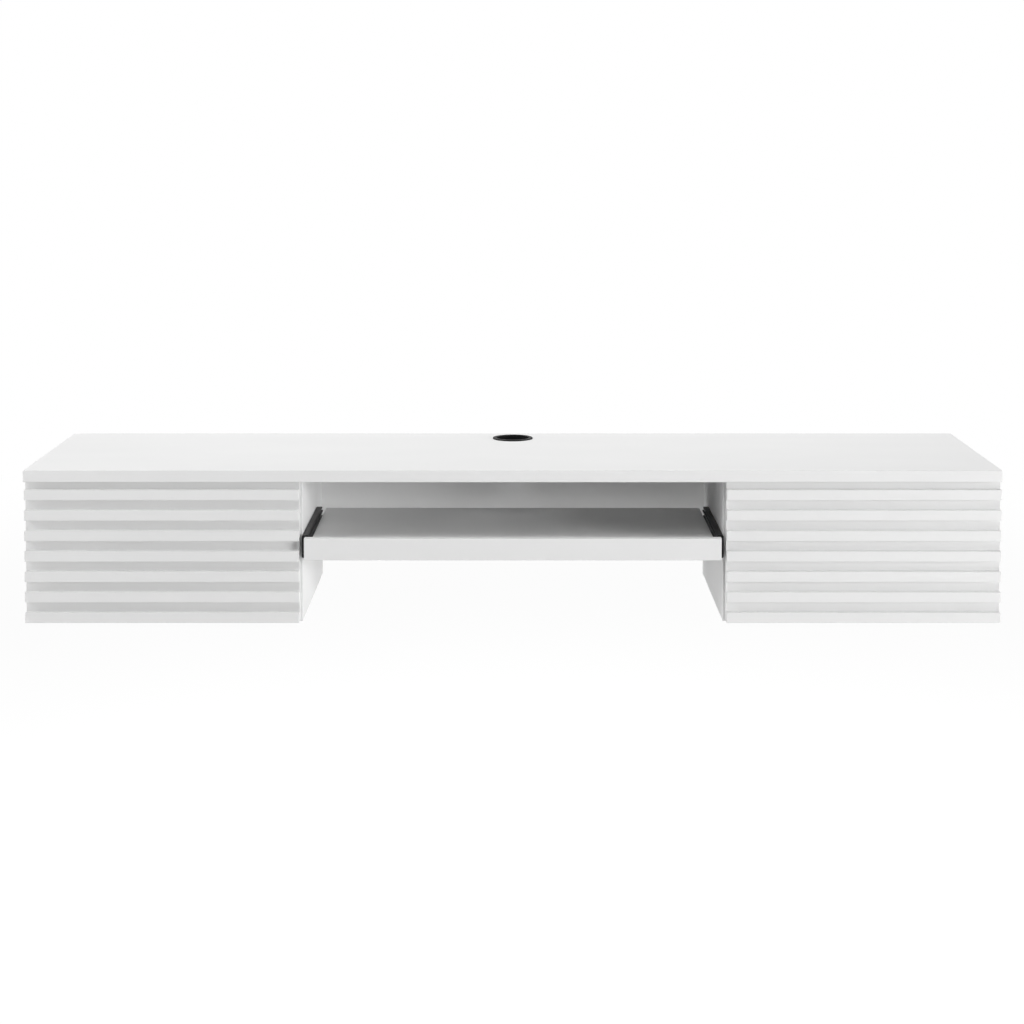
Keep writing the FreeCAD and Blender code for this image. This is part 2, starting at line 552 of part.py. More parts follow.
def build_stays(desk):
    """Add the flap stays.

    The arm's pivot on the door and the guide on the cabinet's side are equally far from the hinge, so
    the arm and the guide turn by half the door's angle while the arm slides through the guide.
    """
    height = STAY_PIVOT_HEIGHT
    inset = DOOR_BACK_Y - HINGE_Y + STAY_PIVOT_INSET
    radius = math.hypot(height, inset)
    pivot_angle = math.degrees(math.atan2(inset, height))
    pivot_y, pivot_z = around_hinge(pivot_angle, radius)
    guide_y, guide_z = around_hinge(pivot_angle + STAY_GUIDE_ANGLE, radius)
    slope = math.radians(pivot_angle + STAY_GUIDE_ANGLE / 2)
    along = vec(0, math.cos(slope), -math.sin(slope))
    across = vec(0, math.sin(slope), math.cos(slope))
    open_reach = 2 * radius * math.sin(math.radians(STAY_GUIDE_ANGLE + STAY_DOOR_ANGLE) / 2)
    stop_reach = open_reach + STAY_GUIDE_LENGTH / 2 + STAY_SLIDE_CLEARANCE + STAY_STOP_RADIUS
    arm_reach = stop_reach + STAY_ARM_TAIL - STAY_STOP_RADIUS

    # Layers across the stay, from the cabinet's side inwards
    plate_x = OUTER_X0 - STAY_PLATE_THICKNESS
    guide_x1 = plate_x - STAY_CLEARANCE
    slot_x1 = guide_x1 - STAY_GUIDE_WALL * 2
    arm_x1 = slot_x1 - STAY_SLIDE_CLEARANCE
    arm_x0 = arm_x1 - STAY_ARM_THICKNESS
    slot_x0 = arm_x0 - STAY_SLIDE_CLEARANCE
    guide_x0 = slot_x0 - STAY_GUIDE_WALL
    inward = X_AXIS * -1

    pivot = vec(arm_x1, pivot_y, pivot_z)
    arm = rod(pivot, inward, STAY_EYE_RADIUS, STAY_ARM_THICKNESS)
    strip_middle = pivot + along * (arm_reach / 2)
    arm = arm.fuse(bar(strip_middle, along, across, inward, arm_reach, STAY_ARM_WIDTH, STAY_ARM_THICKNESS))
    stop_start = vec(arm_x1 + STAY_STOP_HEIGHT, pivot_y, pivot_z) + along * stop_reach
    stop_length = STAY_ARM_THICKNESS + 2 * STAY_STOP_HEIGHT
    arm = arm.fuse(rod(stop_start, inward, STAY_STOP_RADIUS, stop_length))
    arm = arm.cut(rod(pivot, inward, STAY_RIVET_RADIUS + PIVOT_CLEARANCE, STAY_ARM_THICKNESS))
    desk.add_paired("stay_arm", arm.removeSplitter())

    guide_top = vec(guide_x1, guide_y, guide_z)
    guide_width = guide_x1 - guide_x0
    guide = bar(guide_top, along, across, inward, STAY_GUIDE_LENGTH, STAY_GUIDE_HEIGHT, guide_width)
    slot_width = STAY_ARM_WIDTH + 2 * STAY_SLIDE_CLEARANCE
    slot_top = vec(slot_x1, guide_y, guide_z)
    guide = guide.cut(bar(slot_top, along, across, inward, STAY_GUIDE_LENGTH, slot_width, slot_x1 - slot_x0))
    guide = guide.cut(rod(guide_top, inward, STAY_POST_RADIUS + PIVOT_CLEARANCE, guide_x1 - slot_x1))
    desk.add_paired("stay_guide", guide)

    post_start = vec(OUTER_X0, guide_y, guide_z)
    post_length = OUTER_X0 - slot_x1
    plate_size = (STAY_PLATE_LENGTH, STAY_PLATE_WIDTH, STAY_PLATE_THICKNESS)
    plate = bar(post_start, Y_AXIS, Z_AXIS, inward, *plate_size)
    post = plate.fuse(rod(post_start, inward, STAY_POST_RADIUS, post_length))
    desk.add_grouped("stay_posts", post.removeSplitter())
    screw_offset = STAY_PLATE_LENGTH / 2 - STAY_SCREW_EDGE
    for side in (-1, 1):
        seat = vec(plate_x, guide_y + side * screw_offset, guide_z)
        screw, hole = flat_screw(seat, X_AXIS, SCREW_RADIUS, SCREW_HEAD_RADIUS, PANEL_SCREW_LENGTH)
        desk.add_grouped("cabinet_screws", screw)
        desk.cut("stay_posts", hole)
        desk.cut("outer_side", hole)

    ear_x0 = arm_x1 + STAY_CLEARANCE
    ear_x1 = ear_x0 + STAY_PLATE_THICKNESS
    foot_y1 = DOOR_BACK_Y + STAY_PLATE_THICKNESS
    foot_x0 = ear_x1 - STAY_BRACKET_LENGTH
    half_bracket = STAY_BRACKET_WIDTH / 2
    bracket = block(foot_x0, ear_x1, DOOR_BACK_Y, foot_y1, pivot_z - half_bracket, pivot_z + half_bracket)
    ear = block(ear_x0, ear_x1, DOOR_BACK_Y, pivot_y, pivot_z - half_bracket, pivot_z + half_bracket)
    ear = ear.fuse(rod(vec(ear_x1, pivot_y, pivot_z), inward, half_bracket, STAY_PLATE_THICKNESS))
    shank = STAY_PLATE_THICKNESS + 2 * STAY_CLEARANCE + STAY_ARM_THICKNESS
    rivet = rod(vec(ear_x1, pivot_y, pivot_z), inward, STAY_RIVET_RADIUS, shank)
    head_start = vec(ear_x1 - shank, pivot_y, pivot_z)
    rivet = rivet.fuse(rod(head_start, inward, STAY_RIVET_HEAD_RADIUS, STAY_RIVET_HEAD_THICKNESS))
    desk.add_paired("stay_bracket", bracket.fuse(ear).fuse(rivet).removeSplitter())
    head_end = head_start.x - STAY_RIVET_HEAD_THICKNESS
    for x in (head_end - STAY_SCREW_EDGE, foot_x0 + STAY_SCREW_EDGE):
        seat = vec(x, foot_y1, pivot_z)
        screw, hole = flat_screw(seat, Y_AXIS * -1, SCREW_RADIUS, SCREW_HEAD_RADIUS, PANEL_SCREW_LENGTH)
        desk.add_paired("door_screws", screw)
        desk.cut("stay_bracket", hole)
        desk.cut("door_board", hole)


def build_catches(desk):
    """Add the magnetic catches, their strike plates on the doors, and the bumpers."""
    catch_top = TOP_UNDERSIDE - CATCH_DROP
    catch_foot = catch_top - CATCH_HEIGHT
    catch_mid_z = catch_top - CATCH_HEIGHT / 2
    catch_x1 = INNER_X1 + CATCH_WIDTH
    strike_face = DOOR_BACK_Y + STRIKE_THICKNESS
    catch_face = strike_face + CATCH_GAP
    catch = block(INNER_X1, catch_x1, catch_face, catch_face + CATCH_LENGTH, catch_foot, catch_top)
    catch = rounded(catch, Z_AXIS, ARRIS_RADIUS, lambda mid: mid.x > INNER_X1 + SMALL)
    desk.add_grouped("door_catches", catch)
    strike = block(INNER_X1, catch_x1, DOOR_BACK_Y, strike_face, catch_foot, catch_top)
    seat = vec(INNER_X1 + CATCH_WIDTH / 2, strike_face, catch_mid_z)
    size = (SMALL_SCREW_RADIUS, SMALL_SCREW_HEAD_RADIUS)
    screw, hole = flat_screw(seat, Y_AXIS * -1, *size, SMALL_SCREW_LENGTH)
    desk.add_paired("strike_plate", strike)
    desk.add_paired("door_screws", screw)
    desk.cut("strike_plate", hole)
    desk.cut("door_board", hole)
    for side in (-1, 1):
        seat = vec(catch_x1, catch_face + CATCH_LENGTH / 2, catch_mid_z + side * CATCH_HEIGHT / 3)
        screw, hole = flat_screw(seat, X_AXIS * -1, *size, CATCH_WIDTH + SMALL_SCREW_LENGTH)
        desk.add_grouped("cabinet_screws", screw)
        desk.cut("door_catches", hole)
        desk.cut("inner_side", hole)
    for x in ((INNER_X0 + INNER_X1) / 2, (OUTER_X0 + OUTER_X1) / 2):
        start = vec(x, CARCASS_FRONT_Y, TOP_UNDERSIDE - BUMPER_DROP)
        desk.add_grouped("door_bumpers", rod(start, Y_AXIS * -1, BUMPER_RADIUS, BUMPER_THICKNESS))


# Keyboard tray and slides


def build_tray(desk):
    """Add the tray board, its front rail and the dowels between them."""
    board_foot = TRAY_TOP - TRAY_BOARD_THICKNESS
    board_rear_y = BACK_FRONT_Y - TRAY_REAR_GAP
    board = block(-TRAY_HALF, TRAY_HALF, TRAY_BOARD_FRONT_Y, board_rear_y, board_foot, TRAY_TOP)
    board = rounded(board, X_AXIS, PANEL_ARRIS_RADIUS, lambda mid: mid.y > TRAY_BOARD_FRONT_Y + SMALL)
    rail_head = TRAY_TOP + TRAY_RAIL_RISE
    rail_half = HALF_BAY - TRAY_RAIL_END_GAP
    rail_foot = rail_head - TRAY_RAIL_HEIGHT
    rail = block(-rail_half, rail_half, FRONT_Y, TRAY_BOARD_FRONT_Y, rail_foot, rail_head)
    rail = rounded(rail, X_AXIS, ARRIS_RADIUS, lambda mid: mid.y < TRAY_BOARD_FRONT_Y or mid.z > TRAY_TOP)
    desk.add("tray_board", board)
    desk.add("tray_front_rail", rail)
    for x in (TRAY_DOWEL_EDGE, TRAY_HALF - TRAY_DOWEL_EDGE):
        point = vec(x, TRAY_BOARD_FRONT_Y, TRAY_MID_Z)
        fit_dowel(desk, point, Y_AXIS, "tray_board", "tray_front_rail", "tray_dowels")


def slide_point(reach, rise, y):
    """Return a point of the right slide: reach from the cabinet's side, rise from the slide's middle."""
    return vec(INNER_X0 - reach, y, TRAY_MID_Z + rise)


def slide_section(points, y, length):
    """Return a slide member from half of its section, mirrored about the slide's middle line."""
    outline = points + [(reach, -rise) for reach, rise in reversed(points)]
    return prism([slide_point(reach, rise, y) for reach, rise in outline], Y_AXIS * length)


def ball_cage(run, web, tip, ball_reach, ball_rise, ball_radius):
    """Return a ball retainer at the middle of its run, and its balls above and below the middle line."""
    start_y = SLIDE_FRONT_Y + (run - SLIDE_CAGE_LENGTH) / 2
    strip = SLIDE_CAGE_STRIP / 2
    section = [
        (web, ball_rise + strip),
        (tip, ball_rise + strip),
        (tip, ball_rise - strip),
        (web + SLIDE_CAGE_SHEET, ball_rise - strip),
    ]
    cage = slide_section(section, start_y, SLIDE_CAGE_LENGTH)
    pitch = SLIDE_CAGE_LENGTH / SLIDE_CAGE_BALLS
    balls = []
    for index in range(SLIDE_CAGE_BALLS):
        for side in (-1, 1):
            centre = slide_point(ball_reach, side * ball_rise, start_y + (index + 0.5) * pitch)
            balls.append(Part.makeSphere(ball_radius, centre))
            cage = cage.cut(Part.makeSphere(ball_radius + SLIDE_BALL_CLEARANCE, centre))
    return cage, balls


def build_slides(desk):
    """Add the ball-bearing slides: outer, middle and inner members, ball retainers, balls and screws."""
    sheet = SLIDE_SHEET
    outer_head = SLIDE_HEIGHT / 2
    outer_track = outer_head - sheet
    outer_ball_rise = outer_track - SLIDE_BALL_CLEARANCE - SLIDE_OUTER_BALL_RADIUS
    middle_head = outer_ball_rise - SLIDE_OUTER_BALL_RADIUS - SLIDE_BALL_CLEARANCE
    middle_track = middle_head - sheet
    inner_ball_rise = middle_track - SLIDE_BALL_CLEARANCE - SLIDE_INNER_BALL_RADIUS
    inner_head = inner_ball_rise - SLIDE_INNER_BALL_RADIUS - SLIDE_BALL_CLEARANCE

    outer_cage_web = sheet + SLIDE_RUNNING_GAP
    middle_web = outer_cage_web + SLIDE_CAGE_SHEET + SLIDE_RUNNING_GAP
    middle_tip = SLIDE_THICKNESS - SLIDE_TIP_GAP
    inner_cage_web = middle_web + sheet + SLIDE_RUNNING_GAP
    inner_tip = inner_cage_web + SLIDE_CAGE_SHEET + 2 * SLIDE_RUNNING_GAP
    inner_web = SLIDE_THICKNESS - sheet

    outer = [
        (0, outer_head),
        (SLIDE_OUTER_REACH, outer_head),
        (SLIDE_OUTER_REACH, outer_track - SLIDE_LIP),
        (SLIDE_OUTER_REACH - sheet, outer_track - SLIDE_LIP),
        (SLIDE_OUTER_REACH - sheet, outer_track),
        (sheet, outer_track),
    ]
    middle = [
        (middle_web, middle_head),
        (middle_tip, middle_head),
        (middle_tip, middle_track - SLIDE_LIP),
        (middle_tip - sheet, middle_track - SLIDE_LIP),
        (middle_tip - sheet, middle_track),
        (middle_web + sheet, middle_track),
    ]
    inner = [
        (SLIDE_THICKNESS, inner_head),
        (inner_tip, inner_head),
        (inner_tip, inner_head - sheet),
        (inner_web, inner_head - sheet),
    ]
    desk.add_paired("slide_outer", slide_section(outer, SLIDE_FRONT_Y, SLIDE_LENGTH))
    desk.add_paired("slide_middle", slide_section(middle, SLIDE_FRONT_Y, SLIDE_LENGTH))
    desk.add_paired("slide_inner", slide_section(inner, SLIDE_FRONT_Y, SLIDE_INNER_LENGTH))

    outer_ball_reach = (outer_cage_web + SLIDE_CAGE_SHEET + SLIDE_OUTER_REACH - sheet) / 2
    inner_ball_reach = (inner_tip + middle_tip - sheet) / 2
    outer_ball = (outer_ball_reach, outer_ball_rise, SLIDE_OUTER_BALL_RADIUS)
    inner_ball = (inner_ball_reach, inner_ball_rise, SLIDE_INNER_BALL_RADIUS)
    cages = (
        ("outer", SLIDE_LENGTH, outer_cage_web, *outer_ball),
        ("inner", SLIDE_INNER_LENGTH, inner_cage_web, *inner_ball),
    )
    for name, run, web, reach, rise, radius in cages:
        tip = reach + radius + 2 * SLIDE_RUNNING_GAP
        cage, balls = ball_cage(run, web, tip, reach, rise, radius)
        desk.add_paired("slide_" + name + "_cage", cage)
        for ball in balls:
            desk.add_paired("slide_" + name + "_balls", ball)

    for inset in SLIDE_SCREW_INSETS:
        y = SLIDE_FRONT_Y + inset
        head = SCREW_RADIUS + sheet
        screw, hole = flat_screw(slide_point(sheet, 0, y), X_AXIS, SCREW_RADIUS, head, PANEL_SCREW_LENGTH)
        desk.add_grouped("cabinet_screws", screw)
        desk.cut("slide_outer", hole)
        desk.cut("inner_side", hole)
        seat = slide_point(inner_web, 0, y)
        screw, hole = pan_screw(seat, X_AXIS * -1, SCREW_RADIUS, SCREW_HEAD_RADIUS, TRAY_SCREW_LENGTH)
        desk.add_grouped("tray_screws", screw)
        desk.cut("slide_inner", hole)
        desk.cut("tray_board", hole)


def main():
    """Build every piece and write one STEP file for each node."""
    desk = Assembly()
    build_top(desk)
    build_carcasses(desk)
    join_carcasses(desk)
    build_cleats(desk)
    build_doors(desk)
    build_hinges(desk)
    build_stays(desk)
    build_catches(desk)
    build_tray(desk)
    build_slides(desk)
    os.makedirs("parts", exist_ok=True)
    for node in desk.pieces:
        shape = desk.finished(node)
        shape.exportStep("parts/" + node + ".step")
        print(node, len(shape.Solids), shape.isValid(), round(shape.Volume))


main()
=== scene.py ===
import json
import logging
import math
from abc import ABC, abstractmethod
from dataclasses import dataclass
from enum import Enum
from functools import cached_property
from typing import Callable, Iterable, NamedTuple, Sequence

import bmesh
import bpy
from mathutils import Matrix, Vector

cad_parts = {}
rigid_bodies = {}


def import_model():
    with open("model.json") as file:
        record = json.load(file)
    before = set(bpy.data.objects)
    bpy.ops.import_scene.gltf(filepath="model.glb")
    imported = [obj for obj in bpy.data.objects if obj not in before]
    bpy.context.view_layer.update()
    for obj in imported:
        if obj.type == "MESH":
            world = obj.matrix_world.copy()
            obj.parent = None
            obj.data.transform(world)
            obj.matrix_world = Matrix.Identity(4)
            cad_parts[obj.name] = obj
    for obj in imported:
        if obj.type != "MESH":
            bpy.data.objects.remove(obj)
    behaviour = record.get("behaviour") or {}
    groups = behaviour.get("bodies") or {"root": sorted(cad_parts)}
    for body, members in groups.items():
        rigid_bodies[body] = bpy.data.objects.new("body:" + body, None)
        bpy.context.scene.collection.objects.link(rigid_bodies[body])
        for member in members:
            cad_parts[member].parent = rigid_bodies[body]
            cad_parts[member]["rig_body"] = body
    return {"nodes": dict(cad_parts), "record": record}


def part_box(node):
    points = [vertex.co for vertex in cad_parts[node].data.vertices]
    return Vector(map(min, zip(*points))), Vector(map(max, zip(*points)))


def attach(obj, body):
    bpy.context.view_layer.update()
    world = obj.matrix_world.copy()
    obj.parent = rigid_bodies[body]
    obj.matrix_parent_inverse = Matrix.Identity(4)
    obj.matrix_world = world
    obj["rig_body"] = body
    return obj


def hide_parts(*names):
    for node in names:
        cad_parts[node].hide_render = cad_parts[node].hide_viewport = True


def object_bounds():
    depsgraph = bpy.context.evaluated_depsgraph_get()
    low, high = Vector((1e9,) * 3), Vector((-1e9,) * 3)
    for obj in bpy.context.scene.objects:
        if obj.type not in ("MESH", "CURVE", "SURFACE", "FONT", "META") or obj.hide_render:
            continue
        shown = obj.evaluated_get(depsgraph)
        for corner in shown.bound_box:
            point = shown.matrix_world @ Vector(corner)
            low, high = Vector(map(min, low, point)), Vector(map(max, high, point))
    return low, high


# The floating wall desk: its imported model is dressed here, and its fastenings, slats and fittings get the
# shapes that a plain solid leaves out. Sizes are in metres, X along the wall, -Y to the front, Z up.

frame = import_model()
CAD_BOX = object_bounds()
LOG = logging.getLogger("floating_wall_desk")

Pair = tuple[float, float]
Triple = tuple[float, float, float]
Colour = Triple
Ring = list[bmesh.types.BMVert]
Seat = Callable[[float, float, float], Vector]
Socket = bpy.types.NodeSocket

SMOOTH_ANGLE = math.radians(35)  # a sharper fold than this keeps its edge
JOINED = 1e-6  # points nearer than this count as one
AT_END = 1e-5  # points of a screw this near its end belong to the end
SIZE_STEPS = 1e5  # steps to the metre in which two screws' sizes are compared

NOISE_MIDDLE = (0.3, 0.7)  # where a noise pattern has most of its values
EDGE_TURN = (1.0, 0.8)  # how far a softened normal agrees with the real one: on the flat, on an edge
WEAR_AND_SHADE_SHARE = (0.2, 1.0)  # how much of an edge's change of tone shows in and out of its patches: rubbing, and on the lacquer also painted shade


class MixPlaces(NamedTuple):
    """Where a mix node keeps its two inputs and its result for one kind of value."""

    under: int
    over: int
    result: int


COLOUR_MIX = MixPlaces(6, 7, 2)
NUMBER_MIX = MixPlaces(2, 3, 0)


class Side(Enum):
    """A side of the desk as its user sees it, with the sign of X there."""

    RIGHT = 1
    LEFT = -1

    @property
    def prefix(self) -> str:
        """The start of the node names on this side."""
        return self.name.lower() + "_"


# Node trees


class NodeTree:
    """A node tree, with short ways to add what several trees share."""

    def __init__(self, tree: bpy.types.NodeTree) -> None:
        """Take up a tree."""
        self.nodes = tree.nodes
        self.links = tree.links

    def math(self, operation: str, first: Socket, second: Socket | float = 0.5) -> Socket:
        """Return a number worked out from one or two others.

        Args:
            operation: the sum's name.
            first: the first number.
            second: the second number, fixed or from another node. A sum of one number leaves it out.

        Returns:
            The output socket.
        """
        node = self.nodes.new("ShaderNodeMath")
        node.operation = operation
        self.links.new(first, node.inputs[0])
        if isinstance(second, bpy.types.NodeSocket):
            self.links.new(second, node.inputs[1])
        else:
            node.inputs[1].default_value = second
        return node.outputs["Value"]

    def ranged(self, value: Socket, source: Pair, target: Pair, curve: str = "LINEAR") -> Socket:
        """Return a value carried from one range over to another.

        Args:
            value: the value.
            source: the ends of its own range.
            target: the ends of the new range.
            curve: the way it changes between them.

        Returns:
            The output socket.
        """
        node = self.nodes.new("ShaderNodeMapRange")
        node.interpolation_type = curve
        for socket, end in zip(("From Min", "From Max", "To Min", "To Max"), (*source, *target)):
            node.inputs[socket].default_value = end
        self.links.new(value, node.inputs["Value"])
        return node.outputs["Result"]


@dataclass(frozen=True)
class Pattern:
    """A cloudy pattern: clouds to the metre, finer layers, and the factor along each axis."""

    scale: float
    detail: float = 2
    stretch: Triple = (1, 1, 1)


# patches of the edge mask: rubbing, and on the lacquer also painted shade
WEAR_AND_SHADE_PATCHES = Pattern(140, 3)


class ShaderTree(NodeTree):
    """The node tree of one finish, with short ways to add what the finishes share."""

    def __init__(self, name: str) -> None:
        """Start a material with a plain shader.

        Args:
            name: the material's name.
        """
        self.material = bpy.data.materials.new(name)
        self.material.use_nodes = True
        super().__init__(self.material.node_tree)
        self.shader = self.nodes["Principled BSDF"]
        coordinates = self.nodes.new("ShaderNodeTexCoord")
        self.place = coordinates.outputs["Object"]
        self.facing = coordinates.outputs["Normal"]

    def fix(self, values: dict[str, float]) -> None:
        """Set values that are the same all over on the shader's own sockets."""
        for socket, value in values.items():
            self.shader.inputs[socket].default_value = value

    def noise(self, pattern: Pattern) -> Socket:
        """Return a cloudy pattern through the piece.

        Args:
            pattern: the pattern's sizes.

        Returns:
            The output socket.
        """
        mapping = self.nodes.new("ShaderNodeMapping")
        mapping.inputs["Scale"].default_value = pattern.stretch
        self.links.new(self.place, mapping.inputs["Vector"])
        node = self.nodes.new("ShaderNodeTexNoise")
        node.inputs["Scale"].default_value = pattern.scale
        node.inputs["Detail"].default_value = pattern.detail
        self.links.new(mapping.outputs["Vector"], node.inputs["Vector"])
        return node.outputs["Fac"]

    def cells(self, scale: float) -> Socket:
        """Return a pattern of small cells.

        Args:
            scale: how many cells there are to the metre.

        Returns:
            The output socket, the distance from the cell's middle.
        """
        node = self.nodes.new("ShaderNodeTexVoronoi")
        node.inputs["Scale"].default_value = scale
        self.links.new(self.place, node.inputs["Vector"])
        return node.outputs["Distance"]

    def split(self, vector: Socket, axis: str) -> Socket:
        """Return one axis of a vector.

        Args:
            vector: the vector.
            axis: X, Y or Z.

        Returns:
            The output socket.
        """
        node = self.nodes.new("ShaderNodeSeparateXYZ")
        self.links.new(vector, node.inputs["Vector"])
        return node.outputs[axis]

    def spread(self, pattern: Socket, ends: Pair) -> Socket:
        """Return a pattern's middle range, spread between the values for its dark and light parts."""
        return self.ranged(pattern, NOISE_MIDDLE, ends)

    def tones(
        self, pattern: Socket, colours: Sequence[Colour], stops: Sequence[float] = NOISE_MIDDLE
    ) -> Socket:
        """Return colours laid along a pattern.

        Args:
            pattern: the pattern, from 0 to 1.
            colours: the colours, from its dark parts to its light ones.
            stops: where along the pattern each colour comes.

        Returns:
            The output socket.
        """
        node = self.nodes.new("ShaderNodeValToRGB")
        ramp = node.color_ramp
        while len(ramp.elements) < len(stops):
            ramp.elements.new(0.5)
        for element, stop, colour in zip(ramp.elements, stops, colours):
            element.position = stop
            element.color = (*colour, 1)
        self.links.new(pattern, node.inputs["Fac"])
        return node.outputs["Color"]

    def blended(self, share: Socket, under: Socket, over: Socket) -> Socket:
        """Return one colour laid over another.

        Args:
            share: how much of the upper colour shows.
            under: the lower colour.
            over: the upper colour.

        Returns:
            The output socket.
        """
        node = self.nodes.new("ShaderNodeMix")
        node.data_type = "RGBA"
        self.links.new(share, node.inputs["Factor"])
        self.links.new(under, node.inputs[COLOUR_MIX.under])
        self.links.new(over, node.inputs[COLOUR_MIX.over])
        return node.outputs[COLOUR_MIX.result]

    def colour(self, tone: Socket) -> None:
        """Give the surface its colour."""
        self.links.new(tone, self.shader.inputs["Base Color"])

    def roughness(self, amount: Socket) -> None:
        """Give the surface its roughness."""
        self.links.new(amount, self.shader.inputs["Roughness"])

    def relief(self, layers: Iterable[tuple[Socket, float]], strength: float) -> None:
        """Give the surface a fine relief.

        Args:
            layers: each height pattern with its depth in metres, from the finest.
            strength: how strongly each shows, from 0 to 1.
        """
        normal = None
        for height, depth in layers:
            node = self.nodes.new("ShaderNodeBump")
            node.inputs["Strength"].default_value = strength
            node.inputs["Distance"].default_value = depth
            self.links.new(height, node.inputs["Height"])
            if normal is not None:
                self.links.new(normal, node.inputs["Normal"])
            normal = node.outputs["Normal"]
        self.links.new(normal, self.shader.inputs["Normal"])

    def worn(self, reach: float) -> Socket:
        """Return where a finish changes tone along its edges, in broken patches: rubbing from handling, and
        on the lacquer also painted shade.

        Args:
            reach: how far in from an edge the change shows, in metres.

        Returns:
            The output socket, 0 on the flat and up to 1 on an edge.
        """
        softened = self.nodes.new("ShaderNodeBevel")
        softened.inputs["Radius"].default_value = reach
        geometry = self.nodes.new("ShaderNodeNewGeometry")
        turn = self.nodes.new("ShaderNodeVectorMath")
        turn.operation = "DOT_PRODUCT"
        self.links.new(softened.outputs["Normal"], turn.inputs[0])
        self.links.new(geometry.outputs["Normal"], turn.inputs[1])
        edge = self.ranged(turn.outputs["Value"], EDGE_TURN, (0.0, 1.0))
        return self.math("MULTIPLY", edge, self.spread(self.noise(WEAR_AND_SHADE_PATCHES), WEAR_AND_SHADE_SHARE))

    def wear(self, reach: float, tone: Colour, roughness: float) -> None:
        """Change the surface's colour and roughness along its edges: rubbed edges, and on the lacquer also
        painted shade along every edge.

        Args:
            reach: how far in from an edge the change shows, in metres.
            tone: the colour at the edge; on the lacquer a darker tone that is partly rubbing and partly
                painted shade.
            roughness: the roughness at the edge.
        """
        # on the lacquer this edge mask also carries painted shade along every edge
        mask = self.worn(reach)
        edge_wear_and_shade_tint = self.nodes.new("ShaderNodeMix")
        edge_wear_and_shade_tint.data_type = "RGBA"
        edge_wear_and_shade_tint.inputs[COLOUR_MIX.over].default_value = (*tone, 1)
        polish = self.nodes.new("ShaderNodeMix")
        polish.inputs[NUMBER_MIX.over].default_value = roughness
        for node, places, name in ((edge_wear_and_shade_tint, COLOUR_MIX, "Base Color"), (polish, NUMBER_MIX, "Roughness")):
            socket = self.shader.inputs[name]
            self.links.new(socket.links[0].from_socket, node.inputs[places.under])
            self.links.new(mask, node.inputs["Factor"])
            self.links.new(node.outputs[places.result], socket)


# Finishes


@dataclass(frozen=True)
class Finish(ABC):
    """A surface finish. slot is the record's material slot that it dresses."""

    slot: str

    @abstractmethod
    def wire(self, tree: ShaderTree) -> None:
        """Wire the finish's nodes into a material's tree."""

    def material(self) -> bpy.types.Material:
        """Make the finish's material on its first use.

        Returns:
            The material.
        """
        name = "finish_" + self.slot
        made = bpy.data.materials.get(name)
        if made is None:
            tree = ShaderTree(name)
            self.wire(tree)
            made = tree.material
        return made


@dataclass(frozen=True)
class LacqueredBoard(Finish):
    """Satin white lacquer on board: faint clouding, roller marks along the board, a fine orange peel, and
    darker edges that are partly rubbed and partly painted shade.
    """

    slot: str = "white_board"
    bright: Colour = (0.852, 0.852, 0.85)
    dull: Colour = (0.832, 0.833, 0.832)
    # rubbed: the darker tone along every edge, partly rubbing and partly painted shade standing in for the
    # dark lines along the slats' edges
    rubbed: Colour = (0.74, 0.737, 0.725)
    satin: Pair = (0.66, 0.74)
    rubbed_satin: float = 0.51
    reflection: float = 0.2
    ior: float = 1.48
    clouding: Pattern = Pattern(9, 4, (0.4, 1, 1))
    roller_marks: Pattern = Pattern(420, 2, (0.03, 1, 1))
    orange_peel: Pattern = Pattern(900)
    peel_depth: float = 0.00006
    roller_depth: float = 0.00003
    relief: float = 0.25
    edge_reach: float = 0.001

    def wire(self, tree: ShaderTree) -> None:
        """Wire the lacquer.

        Args:
            tree: the material's node tree.
        """
        clouds, rolled, peel = map(tree.noise, (self.clouding, self.roller_marks, self.orange_peel))
        tree.colour(tree.tones(clouds, (self.dull, self.bright)))
        tree.roughness(tree.spread(rolled, self.satin))
        tree.fix({"Specular IOR Level": self.reflection, "IOR": self.ior})
        tree.relief(((peel, self.peel_depth), (rolled, self.roller_depth)), self.relief)
        # painted shade: the darker edge tone is partly rubbing and partly shade painted along every edge of
        # the lacquered boards and slats
        tree.wear(self.edge_reach, self.rubbed, self.rubbed_satin)


@dataclass(frozen=True)
class MouldedPlastic(Finish):
    """Moulded plastic with the fine sparked grain of its mould."""

    slot: str
    light: Colour
    dark: Colour
    sheen: Pair = (0.42, 0.55)
    clear: float = 0.0
    gloss: float = 0.5
    ior: float = 1.46
    flow_marks: Pattern = Pattern(70, 3)
    spark_scale: float = 2600
    spark_depth: float = 0.00004
    flow_depth: float = 0.00003
    relief: float = 0.3
    edge_reach: float = 0.0005
    edge_polish: float = 0.1

    def wire(self, tree: ShaderTree) -> None:
        """Wire the plastic.

        Args:
            tree: the material's node tree.
        """
        flow, sparks = tree.noise(self.flow_marks), tree.cells(self.spark_scale)
        tree.colour(tree.tones(flow, (self.dark, self.light)))
        tree.roughness(tree.spread(flow, self.sheen))
        tree.fix({"Transmission Weight": self.clear, "IOR": self.ior, "Specular IOR Level": self.gloss})
        tree.relief(((sparks, self.spark_depth), (flow, self.flow_depth)), self.relief)
        tree.wear(self.edge_reach, self.light, self.sheen[0] - self.edge_polish)


